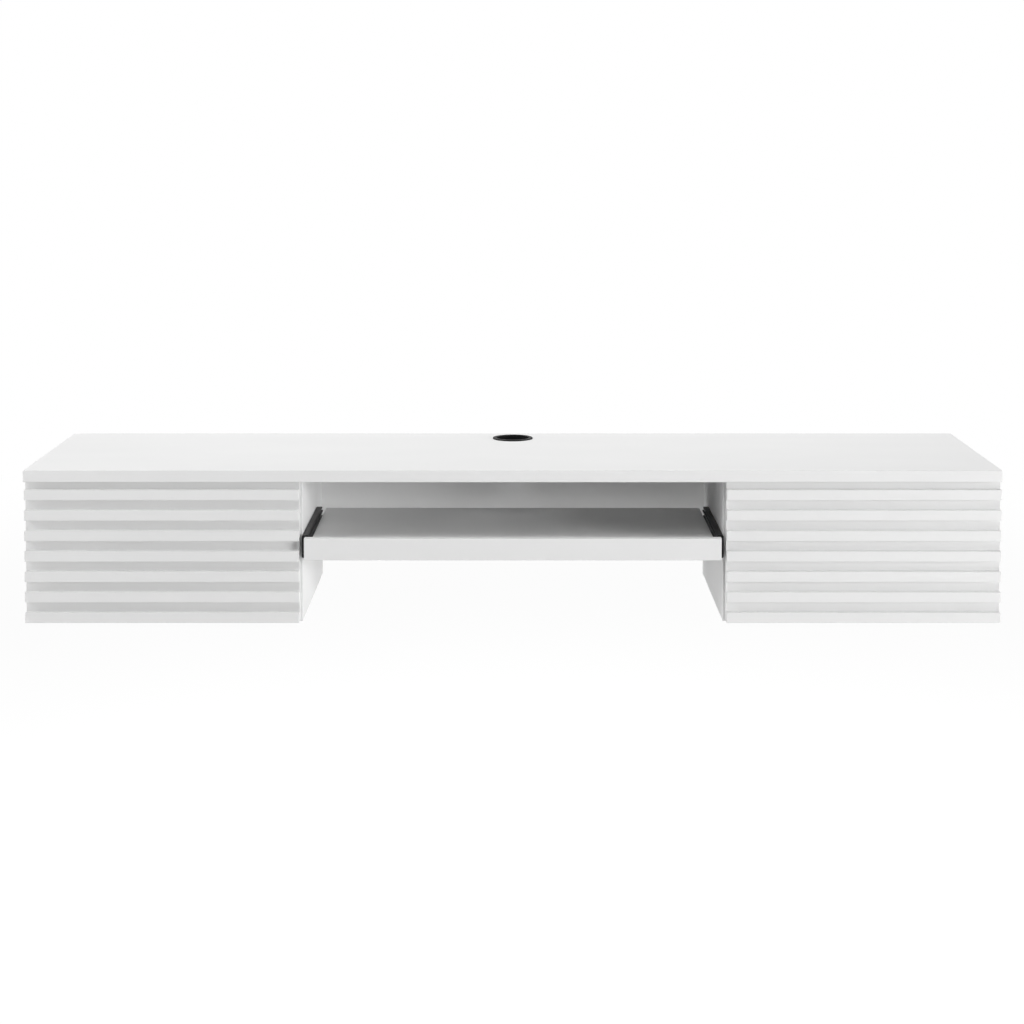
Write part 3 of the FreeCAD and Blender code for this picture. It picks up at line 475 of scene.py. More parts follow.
@dataclass(frozen=True)
class CoatedSteel(Finish):
    """Black electrocoated sheet: a thin glossy film with pinhead speckle and rub marks along the slide."""

    slot: str = "black_steel"
    film: Colour = (0.005, 0.005, 0.0055)
    rubbed: Colour = (0.03, 0.03, 0.031)
    bare: Colour = (0.09, 0.09, 0.092)
    rub_marks: Pattern = Pattern(700, 3, (1, 0.02, 1))
    rub_stops: Pair = (0.55, 0.78)
    speckle: Pattern = Pattern(3000, 1)
    sheen: Pair = (0.36, 0.5)
    bare_sheen: float = 0.4
    reflection: float = 0.18
    speckle_depth: float = 0.00003
    rub_depth: float = 0.00002
    relief: float = 0.3
    edge_reach: float = 0.0003

    def wire(self, tree: ShaderTree) -> None:
        """Wire the coated steel.

        Args:
            tree: the material's node tree.
        """
        rubs, speckle = tree.noise(self.rub_marks), tree.noise(self.speckle)
        tree.colour(tree.tones(rubs, (self.film, self.rubbed), self.rub_stops))
        tree.roughness(tree.spread(rubs, self.sheen))
        tree.fix({"Specular IOR Level": self.reflection})
        tree.relief(((speckle, self.speckle_depth), (rubs, self.rub_depth)), self.relief)
        tree.wear(self.edge_reach, self.bare, self.bare_sheen)


@dataclass(frozen=True)
class PlatedMetal(Finish):
    """Plated or cast metal with a drawn or frosted grain."""

    slot: str
    light: Colour
    dark: Colour
    gloss: Pair
    grain: Pattern = Pattern(500, 3)
    depth: float = 0.00002
    bloom: Pattern = Pattern(45, 3)
    relief: float = 0.4
    edge_reach: float = 0.0004

    def wire(self, tree: ShaderTree) -> None:
        """Wire the metal.

        Args:
            tree: the material's node tree.
        """
        streaks = tree.noise(self.grain)
        tree.colour(tree.tones(tree.noise(self.bloom), (self.dark, self.light)))
        tree.roughness(tree.spread(streaks, self.gloss))
        tree.fix({"Metallic": 1.0})
        tree.relief(((streaks, self.depth),), self.relief)
        tree.wear(self.edge_reach, self.light, self.gloss[0])


@dataclass(frozen=True)
class TurnedBeech(Finish):
    """Beech dowel rod, with its grain and short pores along the rod."""

    slot: str = "beech"
    pale: Colour = (0.62, 0.42, 0.25)
    warm: Colour = (0.47, 0.28, 0.14)
    grain: Pattern = Pattern(500, 4, (0.12, 0.5, 0.12))
    grain_stops: Pair = (0.35, 0.65)
    grain_depth: float = 0.0001
    pores: Pattern = Pattern(2200, 2, (0.1, 1, 0.1))
    pore_depth: float = 0.00008
    sheen: Pair = (0.55, 0.75)
    worn_sheen: float = 0.6
    relief: float = 0.5
    edge_reach: float = 0.0006

    def wire(self, tree: ShaderTree) -> None:
        """Wire the beech.

        Args:
            tree: the material's node tree.
        """
        grain, pores = tree.noise(self.grain), tree.noise(self.pores)
        tree.colour(tree.tones(grain, (self.warm, self.pale), self.grain_stops))
        tree.roughness(tree.spread(pores, self.sheen))
        tree.relief(((pores, self.pore_depth), (grain, self.grain_depth)), self.relief)
        tree.wear(self.edge_reach, self.warm, self.worn_sheen)


@dataclass(frozen=True)
class SandedPly(Finish):
    """Plain plywood: long face grain, and its plies in dark and light lines on every cut edge."""

    slot: str = "raw_board"
    face_light: Colour = (0.66, 0.5, 0.32)
    face_dark: Colour = (0.5, 0.35, 0.2)
    ply_light: Colour = (0.6, 0.44, 0.27)
    ply_dark: Colour = (0.27, 0.17, 0.09)
    handled: Colour = (0.4, 0.28, 0.16)
    figure: Pattern = Pattern(26, 5, (0.12, 1, 1))
    figure_stops: Pair = (0.35, 0.6)
    pores: Pattern = Pattern(900, 2, (0.04, 1, 1))
    pore_depth: float = 0.0001
    ply_thickness: float = 0.0024
    ply_stops: Triple = (0.1, 0.5, 0.9)
    ply_depth: float = 0.00005
    face_turn: float = 0.9
    sheen: Pair = (0.6, 0.8)
    handled_sheen: float = 0.55
    relief: float = 0.5
    edge_reach: float = 0.0015

    def wire(self, tree: ShaderTree) -> None:
        """Wire the plywood.

        Args:
            tree: the material's node tree.
        """
        figure, pores = tree.noise(self.figure), tree.noise(self.pores)
        face = tree.tones(figure, (self.face_dark, self.face_light), self.figure_stops)
        depth = tree.math("DIVIDE", tree.split(tree.place, "Y"), self.ply_thickness)
        plies = tree.math("PINGPONG", depth, 1.0)
        edge = tree.tones(plies, (self.ply_dark, self.ply_light, self.face_light), self.ply_stops)
        turned = tree.math("ABSOLUTE", tree.split(tree.facing, "Y"))
        tree.colour(tree.blended(tree.math("GREATER_THAN", turned, self.face_turn), edge, face))
        tree.roughness(tree.spread(pores, self.sheen))
        tree.relief(((pores, self.pore_depth), (plies, self.ply_depth)), self.relief)
        tree.wear(self.edge_reach, self.handled, self.handled_sheen)


LACQUER = LacqueredBoard()
BLACK_PLASTIC = MouldedPlastic(
    "black_plastic", (0.01, 0.01, 0.0105), (0.005, 0.005, 0.0055), (0.56, 0.68), gloss=0.1
)
WHITE_PLASTIC = MouldedPlastic("white_plastic", (0.83, 0.83, 0.82), (0.78, 0.78, 0.77), (0.3, 0.4))
NYLON = MouldedPlastic("nylon", (0.78, 0.77, 0.71), (0.7, 0.68, 0.61), (0.38, 0.5))
CLEAR_RUBBER = MouldedPlastic("clear_rubber", (0.85, 0.87, 0.87), (0.78, 0.8, 0.8), (0.18, 0.3), 0.6)
BLACK_STEEL = CoatedSteel()
ZINC_STEEL = PlatedMetal(
    "zinc_steel", (0.66, 0.67, 0.69), (0.5, 0.51, 0.52), (0.26, 0.42), Pattern(500, 3, (1, 0.2, 1))
)
NICKEL_STEEL = PlatedMetal(
    "nickel_steel", (0.68, 0.65, 0.6), (0.56, 0.53, 0.49), (0.18, 0.34), Pattern(500, 3, (0.03, 1, 1))
)
BALL_STEEL = PlatedMetal("ball_steel", (0.82, 0.82, 0.84), (0.74, 0.74, 0.76), (0.06, 0.12))
ZINC_CASTING = PlatedMetal(
    "zinc_casting", (0.5, 0.5, 0.51), (0.36, 0.36, 0.37), (0.36, 0.55), Pattern(1400, 3), 0.00006
)
BEECH = TurnedBeech()
PLYWOOD = SandedPly()
PLASTICS = (BLACK_PLASTIC, WHITE_PLASTIC, NYLON, CLEAR_RUBBER)
METALS = (BLACK_STEEL, ZINC_STEEL, NICKEL_STEEL, BALL_STEEL, ZINC_CASTING)
FINISHES = {finish.slot: finish for finish in (LACQUER, *PLASTICS, *METALS, BEECH, PLYWOOD)}


# Meshes and pieces


def add_object(name: str, data: bpy.types.ID) -> bpy.types.Object:
    """Put a new object in the scene.

    Args:
        name: its name.
        data: its mesh, lamp or camera.

    Returns:
        The object.
    """
    made = bpy.data.objects.new(name, data)
    bpy.context.scene.collection.objects.link(made)
    return made


def finished_mesh(name: str, build: bmesh.types.BMesh) -> bpy.types.Mesh:
    """Turn a built form into a mesh with its normals outwards and only its real edges sharp.

    Args:
        name: the mesh's name.
        build: the form, which is freed.

    Returns:
        The mesh.
    """
    bmesh.ops.recalc_face_normals(build, faces=build.faces)
    for face in build.faces:
        face.smooth = True
    mesh = bpy.data.meshes.new(name)
    build.to_mesh(mesh)
    build.free()
    mesh.set_sharp_from_angle(angle=SMOOTH_ANGLE)
    return mesh


def add_arrised_box(
    build: bmesh.types.BMesh, low: Vector, high: Vector, arris: float, steps: int = 3
) -> None:
    """Add a box with all its arrises eased.

    Args:
        build: the form that it is added to.
        low: the box's lowest corner.
        high: its highest corner.
        arris: the radius of the arrises.
        steps: how many faces go round an arris.
    """
    matrix = Matrix.LocRotScale((low + high) / 2, None, high - low)
    made = bmesh.ops.create_cube(build, size=1.0, matrix=matrix)
    edges = list(dict.fromkeys(edge for vertex in made["verts"] for edge in vertex.link_edges))
    shape = {"offset_type": "OFFSET", "segments": steps, "profile": 0.5, "affect": "EDGES"}
    bmesh.ops.bevel(build, geom=edges, offset=arris, **shape)


def add_band(build: bmesh.types.BMesh, first: Ring, second: Ring) -> None:
    """Add the faces between two closed rings of points, one of which may be a single point.

    Args:
        build: the form that they are added to.
        first: the points of one ring.
        second: the points of the other.
    """
    count = max(len(first), len(second))
    for index in range(count):
        following = (index + 1) % count
        corners = [first[index % len(first)], first[following % len(first)]]
        corners += [second[following % len(second)], second[index % len(second)]]
        build.faces.new(list(dict.fromkeys(corners)))


def add_turned(
    build: bmesh.types.BMesh, profile: Sequence[Pair], place: Matrix, segments: int = 24
) -> None:
    """Add a form turned on a lathe, closed at both ends.

    Args:
        build: the form that it is added to.
        profile: radius and height of each point, from one end of the axis to the other.
        place: where the axis stands.
        segments: how many faces go round it.
    """
    rings = []
    for radius, height in profile:
        if radius < JOINED:
            rings.append([build.verts.new(place @ Vector((0, 0, height)))])
            continue
        ring = []
        for index in range(segments):
            turn = 2 * math.pi * index / segments
            point = Vector((radius * math.cos(turn), radius * math.sin(turn), height))
            ring.append(build.verts.new(place @ point))
        rings.append(ring)
    for lower, upper in zip(rings, rings[1:]):
        add_band(build, lower, upper)


def carved(mesh: bpy.types.Mesh, tool: bpy.types.Mesh) -> bpy.types.Mesh:
    """Return a mesh with another taken out of it.

    Args:
        mesh: the mesh that is cut.
        tool: the closed form that is taken out.

    Returns:
        The cut mesh.
    """
    body, cutter = add_object("carved_body", mesh), add_object("carving_tool", tool)
    step = body.modifiers.new("carve", "BOOLEAN")
    step.operation = "DIFFERENCE"
    step.solver = "EXACT"
    step.object = cutter
    bpy.context.view_layer.update()
    result = bpy.data.meshes.new_from_object(body.evaluated_get(bpy.context.evaluated_depsgraph_get()))
    for part in (body, cutter):
        bpy.data.objects.remove(part)
    return result


def place_piece(
    name: str, build: bmesh.types.BMesh, finish: Finish, body: str, nodes: Sequence[str] = ()
) -> bpy.types.Object:
    """Put a piece in the scene, dressed and riding on its body.

    Args:
        name: the piece's name.
        build: its form, in the desk's own coordinates.
        finish: its finish.
        body: the body that it moves with.
        nodes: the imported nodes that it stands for.

    Returns:
        The piece.
    """
    piece = add_object(name, finished_mesh(name, build))
    piece.data.materials.append(finish.material())
    even = piece.modifiers.new("even_normals", "WEIGHTED_NORMAL")
    even.keep_sharp = True
    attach(piece, body)
    if nodes:
        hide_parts(*nodes)
    LOG.info("%s rides on %s", name, body)
    return piece


def body_of(node: str) -> str:
    """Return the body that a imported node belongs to."""
    return frame["nodes"][node]["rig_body"]


def dress(node: str, finish: Finish) -> None:
    """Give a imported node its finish.

    Args:
        node: the node's name.
        finish: the finish.
    """
    part = frame["nodes"][node]
    if not part.material_slots:
        part.data.materials.append(None)
    for slot in part.material_slots:
        slot.material = finish.material()
    LOG.info("%s is dressed in %s", node, finish.slot)


def dress_all(nodes: Iterable[str]) -> None:
    """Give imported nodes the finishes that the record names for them.

    Args:
        nodes: the nodes' names.
    """
    wanted = {row["node"]: row["material_slot"] for row in frame["record"]["subparts"]}
    for node in nodes:
        dress(node, FINISHES[wanted[node]])


# Fasteners


class HeadForm(Enum):
    """The form of a screw's head."""

    COUNTERSUNK = "countersunk"
    PAN = "pan"


class FoundScrew(NamedTuple):
    """A screw's place, its axis from head to point, and its length, head radius and shank radius."""

    place: Matrix
    length: float
    head: float
    shank: float


@dataclass
class ScrewSet:
    """The screws of one node, with cross recesses and threads.

    The pan curve is in shares of the head's radius and height, and the rim in shares of its radius. The
    thread's rise, fall and plain end are in pitches. The recess's reach, width and overcut are in shares of
    the head's radius. Its depth is the lesser of a share of that radius and a share of the screw's length,
    and its taper is the share of its outline left at its floor.
    """

    node: str
    head_form: HeadForm = HeadForm.COUNTERSUNK
    pan_height: float = 0.002
    pan_curve: tuple[Pair, ...] = ((0, 0), (0.6, 0), (0.88, 0.2), (1, 0.6), (1, 1))
    rim: float = 0.03
    thread_pitch: float = 0.0014
    thread_depth: float = 0.3
    thread_rise: float = 0.6
    thread_fall: float = 0.35
    plain_end: float = 3
    point_share: float = 0.8
    recess_reach: float = 0.62
    recess_width: float = 0.16
    recess_depth: Pair = (0.7, 0.3)
    recess_taper: float = 0.36
    overcut: float = 0.1

    def places(self) -> list[FoundScrew]:
        """Find each screw of the node.

        Returns:
            The screws.
        """
        build = bmesh.new()
        build.from_mesh(frame["nodes"][self.node].data)
        bmesh.ops.remove_doubles(build, verts=build.verts, dist=JOINED)
        unseen = dict.fromkeys(build.verts)
        found = []
        while unseen:
            start, _ = unseen.popitem()
            group, waiting = [start], [start]
            while waiting:
                for edge in waiting.pop().link_edges:
                    for vertex in edge.verts:
                        if vertex in unseen:
                            del unseen[vertex]
                            group.append(vertex)
                            waiting.append(vertex)
            found.append(self.measured([vertex.co.copy() for vertex in group]))
        build.free()
        return found

    def measured(self, points: list[Vector]) -> FoundScrew:
        """Work out a screw's place and sizes from the points of its solid.

        Args:
            points: the solid's points.

        Returns:
            The screw.
        """
        low = Vector([min(point[axis] for point in points) for axis in range(3)])
        high = Vector([max(point[axis] for point in points) for axis in range(3)])
        along = max(range(3), key=lambda axis: high[axis] - low[axis])
        middle = (low + high) / 2

        def reach(height: float) -> float:
            """Return the solid's radius at one end."""
            ends = [self.across(point, along) for point in points if abs(point[along] - height) < AT_END]
            return max(math.dist(point, self.across(middle, along)) for point in ends)

        radii = {height: reach(height) for height in (low[along], high[along])}
        head_end = max(radii, key=lambda height: radii[height])
        point_end = min(radii, key=lambda height: radii[height])
        start, heading = middle.copy(), Vector((0, 0, 0))
        start[along] = head_end
        heading[along] = 1 if point_end > head_end else -1
        turn = heading.to_track_quat("Z", "Y").to_matrix().to_4x4()
        length = abs(head_end - point_end)
        return FoundScrew(Matrix.Translation(start) @ turn, length, radii[head_end], radii[point_end])

    @staticmethod
    def across(point: Vector, along: int) -> Pair:
        """Return a point's two coordinates across an axis."""
        first, second = [point[axis] for axis in range(3) if axis != along]
        return first, second

    def profile(self, length: float, head: float, shank: float) -> list[Pair]:
        """Return the screw's turned profile, from the head's face to its point.

        Args:
            length: the whole length.
            head: the head's radius.
            shank: the shank's radius.

        Returns:
            Radius and height of each point.
        """
        if self.head_form is HeadForm.PAN:
            neck = self.pan_height
            points = [(head * radius, neck * height) for radius, height in self.pan_curve]
        else:
            neck = head - shank
            points = [(0, 0), (head * (1 - self.rim), 0), (head, head * self.rim)]
        points.append((shank, neck))
        root = shank * (1 - self.thread_depth)
        height = neck + self.thread_pitch
        points.append((root, height - self.thread_pitch * self.thread_rise))
        while height < length - self.plain_end * self.thread_pitch:
            points += [(shank, height), (root, height + self.thread_pitch * self.thread_fall)]
            height += self.thread_pitch
        points += [(root * self.point_share, height), (0, length)]
        return points

    def build(self) -> bpy.types.Object:
        """Build the screws in place of their node.

        Returns:
            The piece.
        """
        build = bmesh.new()
        shapes: dict[tuple[int, ...], bpy.types.Mesh] = {}
        for place, *sizes in self.places():
            key = tuple(round(size * SIZE_STEPS) for size in sizes)
            if key not in shapes:
                shapes[key] = self.screw(*sizes)
            copy = shapes[key].copy()
            copy.transform(place)
            build.from_mesh(copy)
            bpy.data.meshes.remove(copy)
        return place_piece(self.node + "_crossed", build, ZINC_STEEL, body_of(self.node), (self.node,))

    def screw(self, length: float, head: float, shank: float) -> bpy.types.Mesh:
        """Return one screw with the cross cut into its head.

        Args:
            length: the whole length.
            head: the head's radius.
            shank: the shank's radius.

        Returns:
            The mesh, with its head's face at the origin and its point along +Z.
        """
        body = bmesh.new()
        add_turned(body, self.profile(length, head, shank), Matrix.Identity(4))
        cross = bmesh.new()
        shares = (self.recess_reach, self.recess_width, self.overcut)
        reach, half, over = (head * share for share in shares)
        depth = min(head * self.recess_depth[0], length * self.recess_depth[1])
        rim = [(reach, half), (half, half), (half, reach)]
        outline = []
        for quarter in range(4):
            spin = Matrix.Rotation(quarter * math.pi / 2, 2)
            outline += [spin @ Vector(corner) for corner in rim]
        upper = [cross.verts.new((*corner, -over)) for corner in outline]
        lower = [cross.verts.new((*(corner * self.recess_taper), depth)) for corner in outline]
        add_band(cross, upper, lower)
        cross.faces.new(upper)
        cross.faces.new(lower)
        bmesh.ops.recalc_face_normals(cross, faces=cross.faces)
        bmesh.ops.triangulate(cross, faces=cross.faces)
        return carved(finished_mesh("screw", body), finished_mesh("cross", cross))


# Sub-assemblies


@dataclass
class Worktop:
    """The full-width top with its cable grommet."""

    nodes: tuple[str, ...] = ("top_panel", "cable_grommet")

    def dress(self) -> None:
        """Dress the top and the grommet."""
        dress_all(self.nodes)


@dataclass
class Carcass:
    """The fixed boards under the top, and what joins them.

    The bumper's skirt is a share of its height, and its flat crown a share of its radius.
    """

    boards: tuple[str, ...] = ("outer_side", "inner_side", "bottom_panel", "back_panel")
    shared: tuple[str, ...] = ("centre_back_rail", "cam_housings", "cam_bolts", "wooden_dowels")
    bumper_radius: float = 0.004
    bumper_height: float = 0.0016
    bumper_skirt: float = 0.25
    bumper_crown: float = 0.55
    bumper_steps: int = 6
    catch_arris: float = 0.0012
    catch_setback: float = 0.0004
    pole_width: float = 0.0016
    pole_depth: float = 0.003
    pole_inset: float = 0.003
    pole_offset: float = 0.003
    pole_arris: float = 0.0002

    def dress(self) -> None:
        """Dress the boards and their joints."""
        dress_all(self.shared)
        for side in Side:
            dress_all(side.prefix + board for board in self.boards)

    def build_screws(self) -> None:
        """Build the screws that hold fittings to the cabinets."""
        ScrewSet("cabinet_screws").build()

    def build_bumpers(self) -> None:
        """Build a soft dome in place of each door bumper."""
        build = bmesh.new()
        low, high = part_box("door_bumpers")
        middle_z = (low.z + high.z) / 2
        inner_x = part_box("right_inner_side")
        outer_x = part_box("right_outer_side")
        skirt, crown = self.bumper_skirt, self.bumper_crown
        curve = [(0, 0), (1, 0), (1, skirt)]
        for step in range(1, self.bumper_steps):
            turn = step / self.bumper_steps * math.pi / 2
            curve.append((crown + (1 - crown) * math.cos(turn), skirt + (1 - skirt) * math.sin(turn)))
        curve.append((0, 1))
        profile = [(self.bumper_radius * radius, self.bumper_height * height) for radius, height in curve]
        forwards = Vector((0, -1, 0)).to_track_quat("Z", "Y").to_matrix().to_4x4()
        for side in Side:
            for edge_low, edge_high in (inner_x, outer_x):
                seat = Vector((side.value * (edge_low.x + edge_high.x) / 2, high.y, middle_z))
                add_turned(build, profile, Matrix.Translation(seat) @ forwards)
        place_piece("bumper_domes", build, CLEAR_RUBBER, body_of("door_bumpers"), ("door_bumpers",))

    def build_catches(self) -> None:
        """Build each magnetic catch: an eased white body with two steel poles at its face."""
        body_build, pole_build = bmesh.new(), bmesh.new()
        low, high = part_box("door_catches")
        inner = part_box("right_inner_side")[1].x
        width = high.x - inner
        for side in Side:
            ends = sorted((side.value * inner, side.value * (inner + width)))
            body_low = Vector((ends[0], low.y + self.catch_setback, low.z))
            body_high = Vector((ends[1], high.y, high.z))
            add_arrised_box(body_build, body_low, body_high, self.catch_arris)
            half = self.pole_width / 2
            for across in (-1, 1):
                x = sum(ends) / 2 + across * self.pole_offset
                pole_low = Vector((x - half, low.y, low.z + self.pole_inset))
                pole_high = Vector((x + half, low.y + self.pole_depth, high.z - self.pole_inset))
                add_arrised_box(pole_build, pole_low, pole_high, self.pole_arris)
        place_piece("catch_bodies", body_build, WHITE_PLASTIC, body_of("door_catches"), ("door_catches",))
        place_piece("catch_poles", pole_build, ZINC_STEEL, body_of("door_catches"))

    def build(self) -> None:
        """Dress the carcass and build its fittings."""
        self.dress()
        self.build_screws()
        self.build_bumpers()
        self.build_catches()


@dataclass
class WallHanging:
    """The interlocking cleats, the spacers and their screws."""

    nodes: tuple[str, ...] = ("desk_cleat", "wall_cleat", "wall_spacers")

    def build(self) -> None:
        """Dress the cleats and build their screws."""
        dress_all(self.nodes)
        ScrewSet("cleat_screws").build()


@dataclass
class SlattedDoor:
    """A drop-down door: backing board, planted slats, hinge leaf, strike plate and the stay's bracket."""

    side: Side
    slat_count: int = 7
    slat_height: float = 0.0158
    slat_arris: float = 0.0005
    fittings: tuple[str, ...] = ("door_board", "hinge_door_leaf", "stay_bracket", "strike_plate")

    def build_slats(self) -> None:
        """Build the slats with every arris eased."""
        node = self.side.prefix + "door_slats"
        low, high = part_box(node)
        pitch = (high.z - low.z - self.slat_height) / (self.slat_count - 1)
        build = bmesh.new()
        for index in range(self.slat_count):
            foot = low.z + index * pitch
            slat_low = Vector((low.x, low.y, foot))
            slat_high = Vector((high.x, high.y, foot + self.slat_height))
            add_arrised_box(build, slat_low, slat_high, self.slat_arris)
        place_piece(self.side.prefix + "slats", build, LACQUER, body_of(node), (node,))

    def build(self) -> None:
        """Dress the door and build its slats and screws."""
        dress_all(self.side.prefix + fitting for fitting in self.fittings)
        self.build_slats()
        ScrewSet(self.side.prefix + "door_screws").build()


@dataclass
class FlapStay:
    """The arm and guide that hold a door open, with their post, and the hinge's fixed leaf."""

    side: Side
    fittings: tuple[str, ...] = ("stay_arm", "stay_guide", "hinge_carcass_leaf")

    def dress(self) -> None:
        """Dress the stay and the fixed leaf of the hinge."""
        dress_all(self.side.prefix + fitting for fitting in self.fittings)


@dataclass
class KeyboardTray:
    """The pull-out tray, its front rail and its fastenings."""

    nodes: tuple[str, ...] = ("tray_board", "tray_front_rail", "tray_dowels")

    def build(self) -> None:
        """Dress the tray and build its screws."""
        dress_all(self.nodes)
        ScrewSet("tray_screws", HeadForm.PAN).build()


@dataclass(frozen=True)
class Punching:
    """A round-ended hole through a strip's web, at its distance from the front end."""

    inset: float
    length: float
    width: float
    upright: bool = False

    def outline(self, front: float, steps: int = 10) -> list[Pair]:
        """Return the hole's outline.

        Args:
            front: where the strip's front end is along the slide.
            steps: how many faces go round each end.

        Returns:
            Place along the slide and rise of each point.
        """
        radius = self.width / 2
        stretch = (self.length - self.width) / 2
        points = []
        for end in (1, -1):
            for step in range(steps + 1):
                turn = math.pi * (step / steps - 0.5)
                along = end * (stretch + radius * math.cos(turn))
                rise = end * radius * math.sin(turn)
                if self.upright:
                    along, rise = -rise, along
                points.append((front + self.inset + along, rise))
        return points


@dataclass(frozen=True)
class RolledStrip:
    """A steel strip rolled into a channel, with holes punched through its web.

    middle_line is the upper half of its section: reach from the cabinet's side and rise, edge to web.
    """

    node: str
    name: str
    middle_line: tuple[Pair, ...]
    punchings: tuple[Punching, ...]
    sheet: float = 0.0011
    lip_bend: float = 0.0009
    web_bend: float = 0.0016
    bend_steps: int = 5

    def stations(self) -> list[tuple[Vector, Vector]]:
        """Follow the section's middle line round its bends.

        Returns:
            Points of the line with the direction across the sheet at each.
        """
        upper = [Vector(point) for point in self.middle_line]
        line = upper + [Vector((point.x, -point.y)) for point in reversed(upper)]
        web = len(upper) - 1
        found = []
        for index, corner in enumerate(line):
            ahead = (line[min(index + 1, len(line) - 1)] - line[min(index, len(line) - 2)]).normalized()
            behind = (line[max(index, 1)] - line[max(index - 1, 0)]).normalized()
            across = Vector((-behind.y, behind.x))
            turn = math.atan2(behind.cross(ahead), behind.dot(ahead))
            if abs(turn) < JOINED:
                found.append((corner, across))
                continue
            radius = self.web_bend if index in (web, web + 1) else self.lip_bend
            inwards = across * math.copysign(1, turn)
            centre = corner - behind * radius * math.tan(abs(turn) / 2) + inwards * radius
            for step in range(self.bend_steps + 1):
                spin = Matrix.Rotation(turn * step / self.bend_steps, 2)
                found.append((centre - spin @ inwards * radius, spin @ across))
        return found

    def punched(self, seat: Seat, front: float) -> bpy.types.Mesh:
        """Return the forms of the punched holes.

        Args:
            seat: gives the place of a reach, a place along the slide and a rise.
            front: where the strip's front end is.

        Returns:
            The mesh.
        """
        build = bmesh.new()
        web = self.middle_line[-1][0]
        for punching in self.punchings:
            outline = punching.outline(front)
            near = [build.verts.new(seat(web - self.sheet, *point)) for point in outline]
            far = [build.verts.new(seat(web + self.sheet, *point)) for point in outline]
            build.faces.new(near)
            build.faces.new(far)
            add_band(build, near, far)
        return finished_mesh("punchings", build)

    def build(self, seat: Seat) -> bpy.types.Object:
        """Build the strip in place of its node.

        Args:
            seat: gives the place of a reach, a place along the slide and a rise.

        Returns:
            The piece.
        """
        low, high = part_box(self.node)
        build = bmesh.new()
        rings = []
        for along in (low.y, high.y):
            ring = []
            for point, across in self.stations():
                faces = (point + across * self.sheet / 2, point - across * self.sheet / 2)
                ring.append([build.verts.new(seat(face.x, along, face.y)) for face in faces])
            rings.append(ring)
        front, rear = rings
        for index in range(len(front) - 1):
            following = index + 1
            for face in (0, 1):
                near = [front[index][face], front[following][face]]
                build.faces.new(near + [rear[following][face], rear[index][face]])
            for ring in rings:
                build.faces.new([ring[index][0], ring[index][1], ring[following][1], ring[following][0]])
        for index in (0, len(front) - 1):
            build.faces.new([front[index][0], front[index][1], rear[index][1], rear[index][0]])
        cut = carved(finished_mesh("strip", build), self.punched(seat, low.y))
        finished = bmesh.new()
        finished.from_mesh(cut)
        return place_piece(self.name, finished, BLACK_STEEL, body_of(self.node), (self.node,))


@dataclass
class BallSlide:
    """A three-member ball-bearing slide.

    Insets are measured from a member's front end. Each line is the upper half of a member's section.
    """

    side: Side
    screw_insets: tuple[float, ...] = (0.032, 0.096, 0.192)
    slot_insets: tuple[float, ...] = (0.016, 0.064, 0.128, 0.16, 0.218)
    screw_hole: float = 0.0052
    shank_hole: float = 0.0034
    access_hole: float = 0.009
    slot_length: float = 0.0095
    slot_width: float = 0.0042
    outer_line: tuple[Pair, ...] = ((0.00915, 0.0152), (0.00915, 0.01695), (0.00055, 0.01695))
    middle_line: tuple[Pair, ...] = ((0.01045, 0.0101), (0.01045, 0.01185), (0.00265, 0.01185))
    inner_line: tuple[Pair, ...] = ((0.0045, 0.00735), (0.01215, 0.00735))
    running: tuple[str, ...] = ("outer_cage", "inner_cage", "outer_balls", "inner_balls")

    @cached_property
    def datum(self) -> Vector:
        """Find where the slide's middle line meets the cabinet's side.

        Returns:
            The point.
        """
        side_low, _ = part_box(Side.RIGHT.prefix + "inner_side")
        low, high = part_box(self.side.prefix + "slide_outer")
        return Vector((self.side.value * side_low.x, 0, (low.z + high.z) / 2))

    def seat(self, reach: float, along: float, rise: float) -> Vector:
        """Return the point at a reach off the cabinet's side, a place along the slide and a rise."""
        return self.datum + Vector((-self.side.value * reach, along, rise))

    def punchings(self, screws: float, reach: float) -> tuple[Punching, ...]:
        """Return a member's punchings: screw holes, and slots that lie and stand in turn.

        Args:
            screws: the diameter of the screw holes.
            reach: the member's length.

        Returns:
            The punchings.
        """
        holes = [Punching(inset, screws, screws) for inset in self.screw_insets]
        for index, inset in enumerate(self.slot_insets):
            if inset < reach:
                holes.append(Punching(inset, self.slot_length, self.slot_width, index % 2 == 1))
        return tuple(holes)

    def build(self) -> None:
        """Build the three members and dress the ball retainers and balls."""
        members = (
            ("slide_outer", "outer_channel", self.outer_line, self.screw_hole),
            ("slide_middle", "middle_channel", self.middle_line, self.access_hole),
            ("slide_inner", "inner_channel", self.inner_line, self.shank_hole),
        )
        for part, strip, line, hole in members:
            node, name = self.side.prefix + part, self.side.prefix + strip
            low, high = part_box(node)
            RolledStrip(node, name, line, self.punchings(hole, high.y - low.y)).build(self.seat)
        dress_all(self.side.prefix + "slide_" + part for part in self.running)


# Studio


@dataclass(frozen=True)
class SoftLight:
    """A large square lamp aimed at the desk's middle, with its angles in degrees and its power in watts."""

    name: str
    azimuth: float
    elevation: float
    distance: float
    size: float
    power: float

    def place(self, aim: Vector) -> bpy.types.Object:
        """Put the lamp in the scene.

        Args:
            aim: the point that it faces.

        Returns:
            The lamp.
        """
        data = bpy.data.lights.new(self.name, "AREA")
        data.shape = "SQUARE"
        data.size = self.size
        data.energy = self.power
        turn, rise = math.radians(self.azimuth), math.radians(self.elevation)
        away = Vector((math.sin(turn) * math.cos(rise), -math.cos(turn) * math.cos(rise), math.sin(rise)))
        lamp = add_object(self.name, data)
        lamp.location = aim + away * self.distance
        lamp.rotation_euler = away.to_track_quat("Z", "Y").to_euler()
        lamp.visible_camera = False
        return lamp


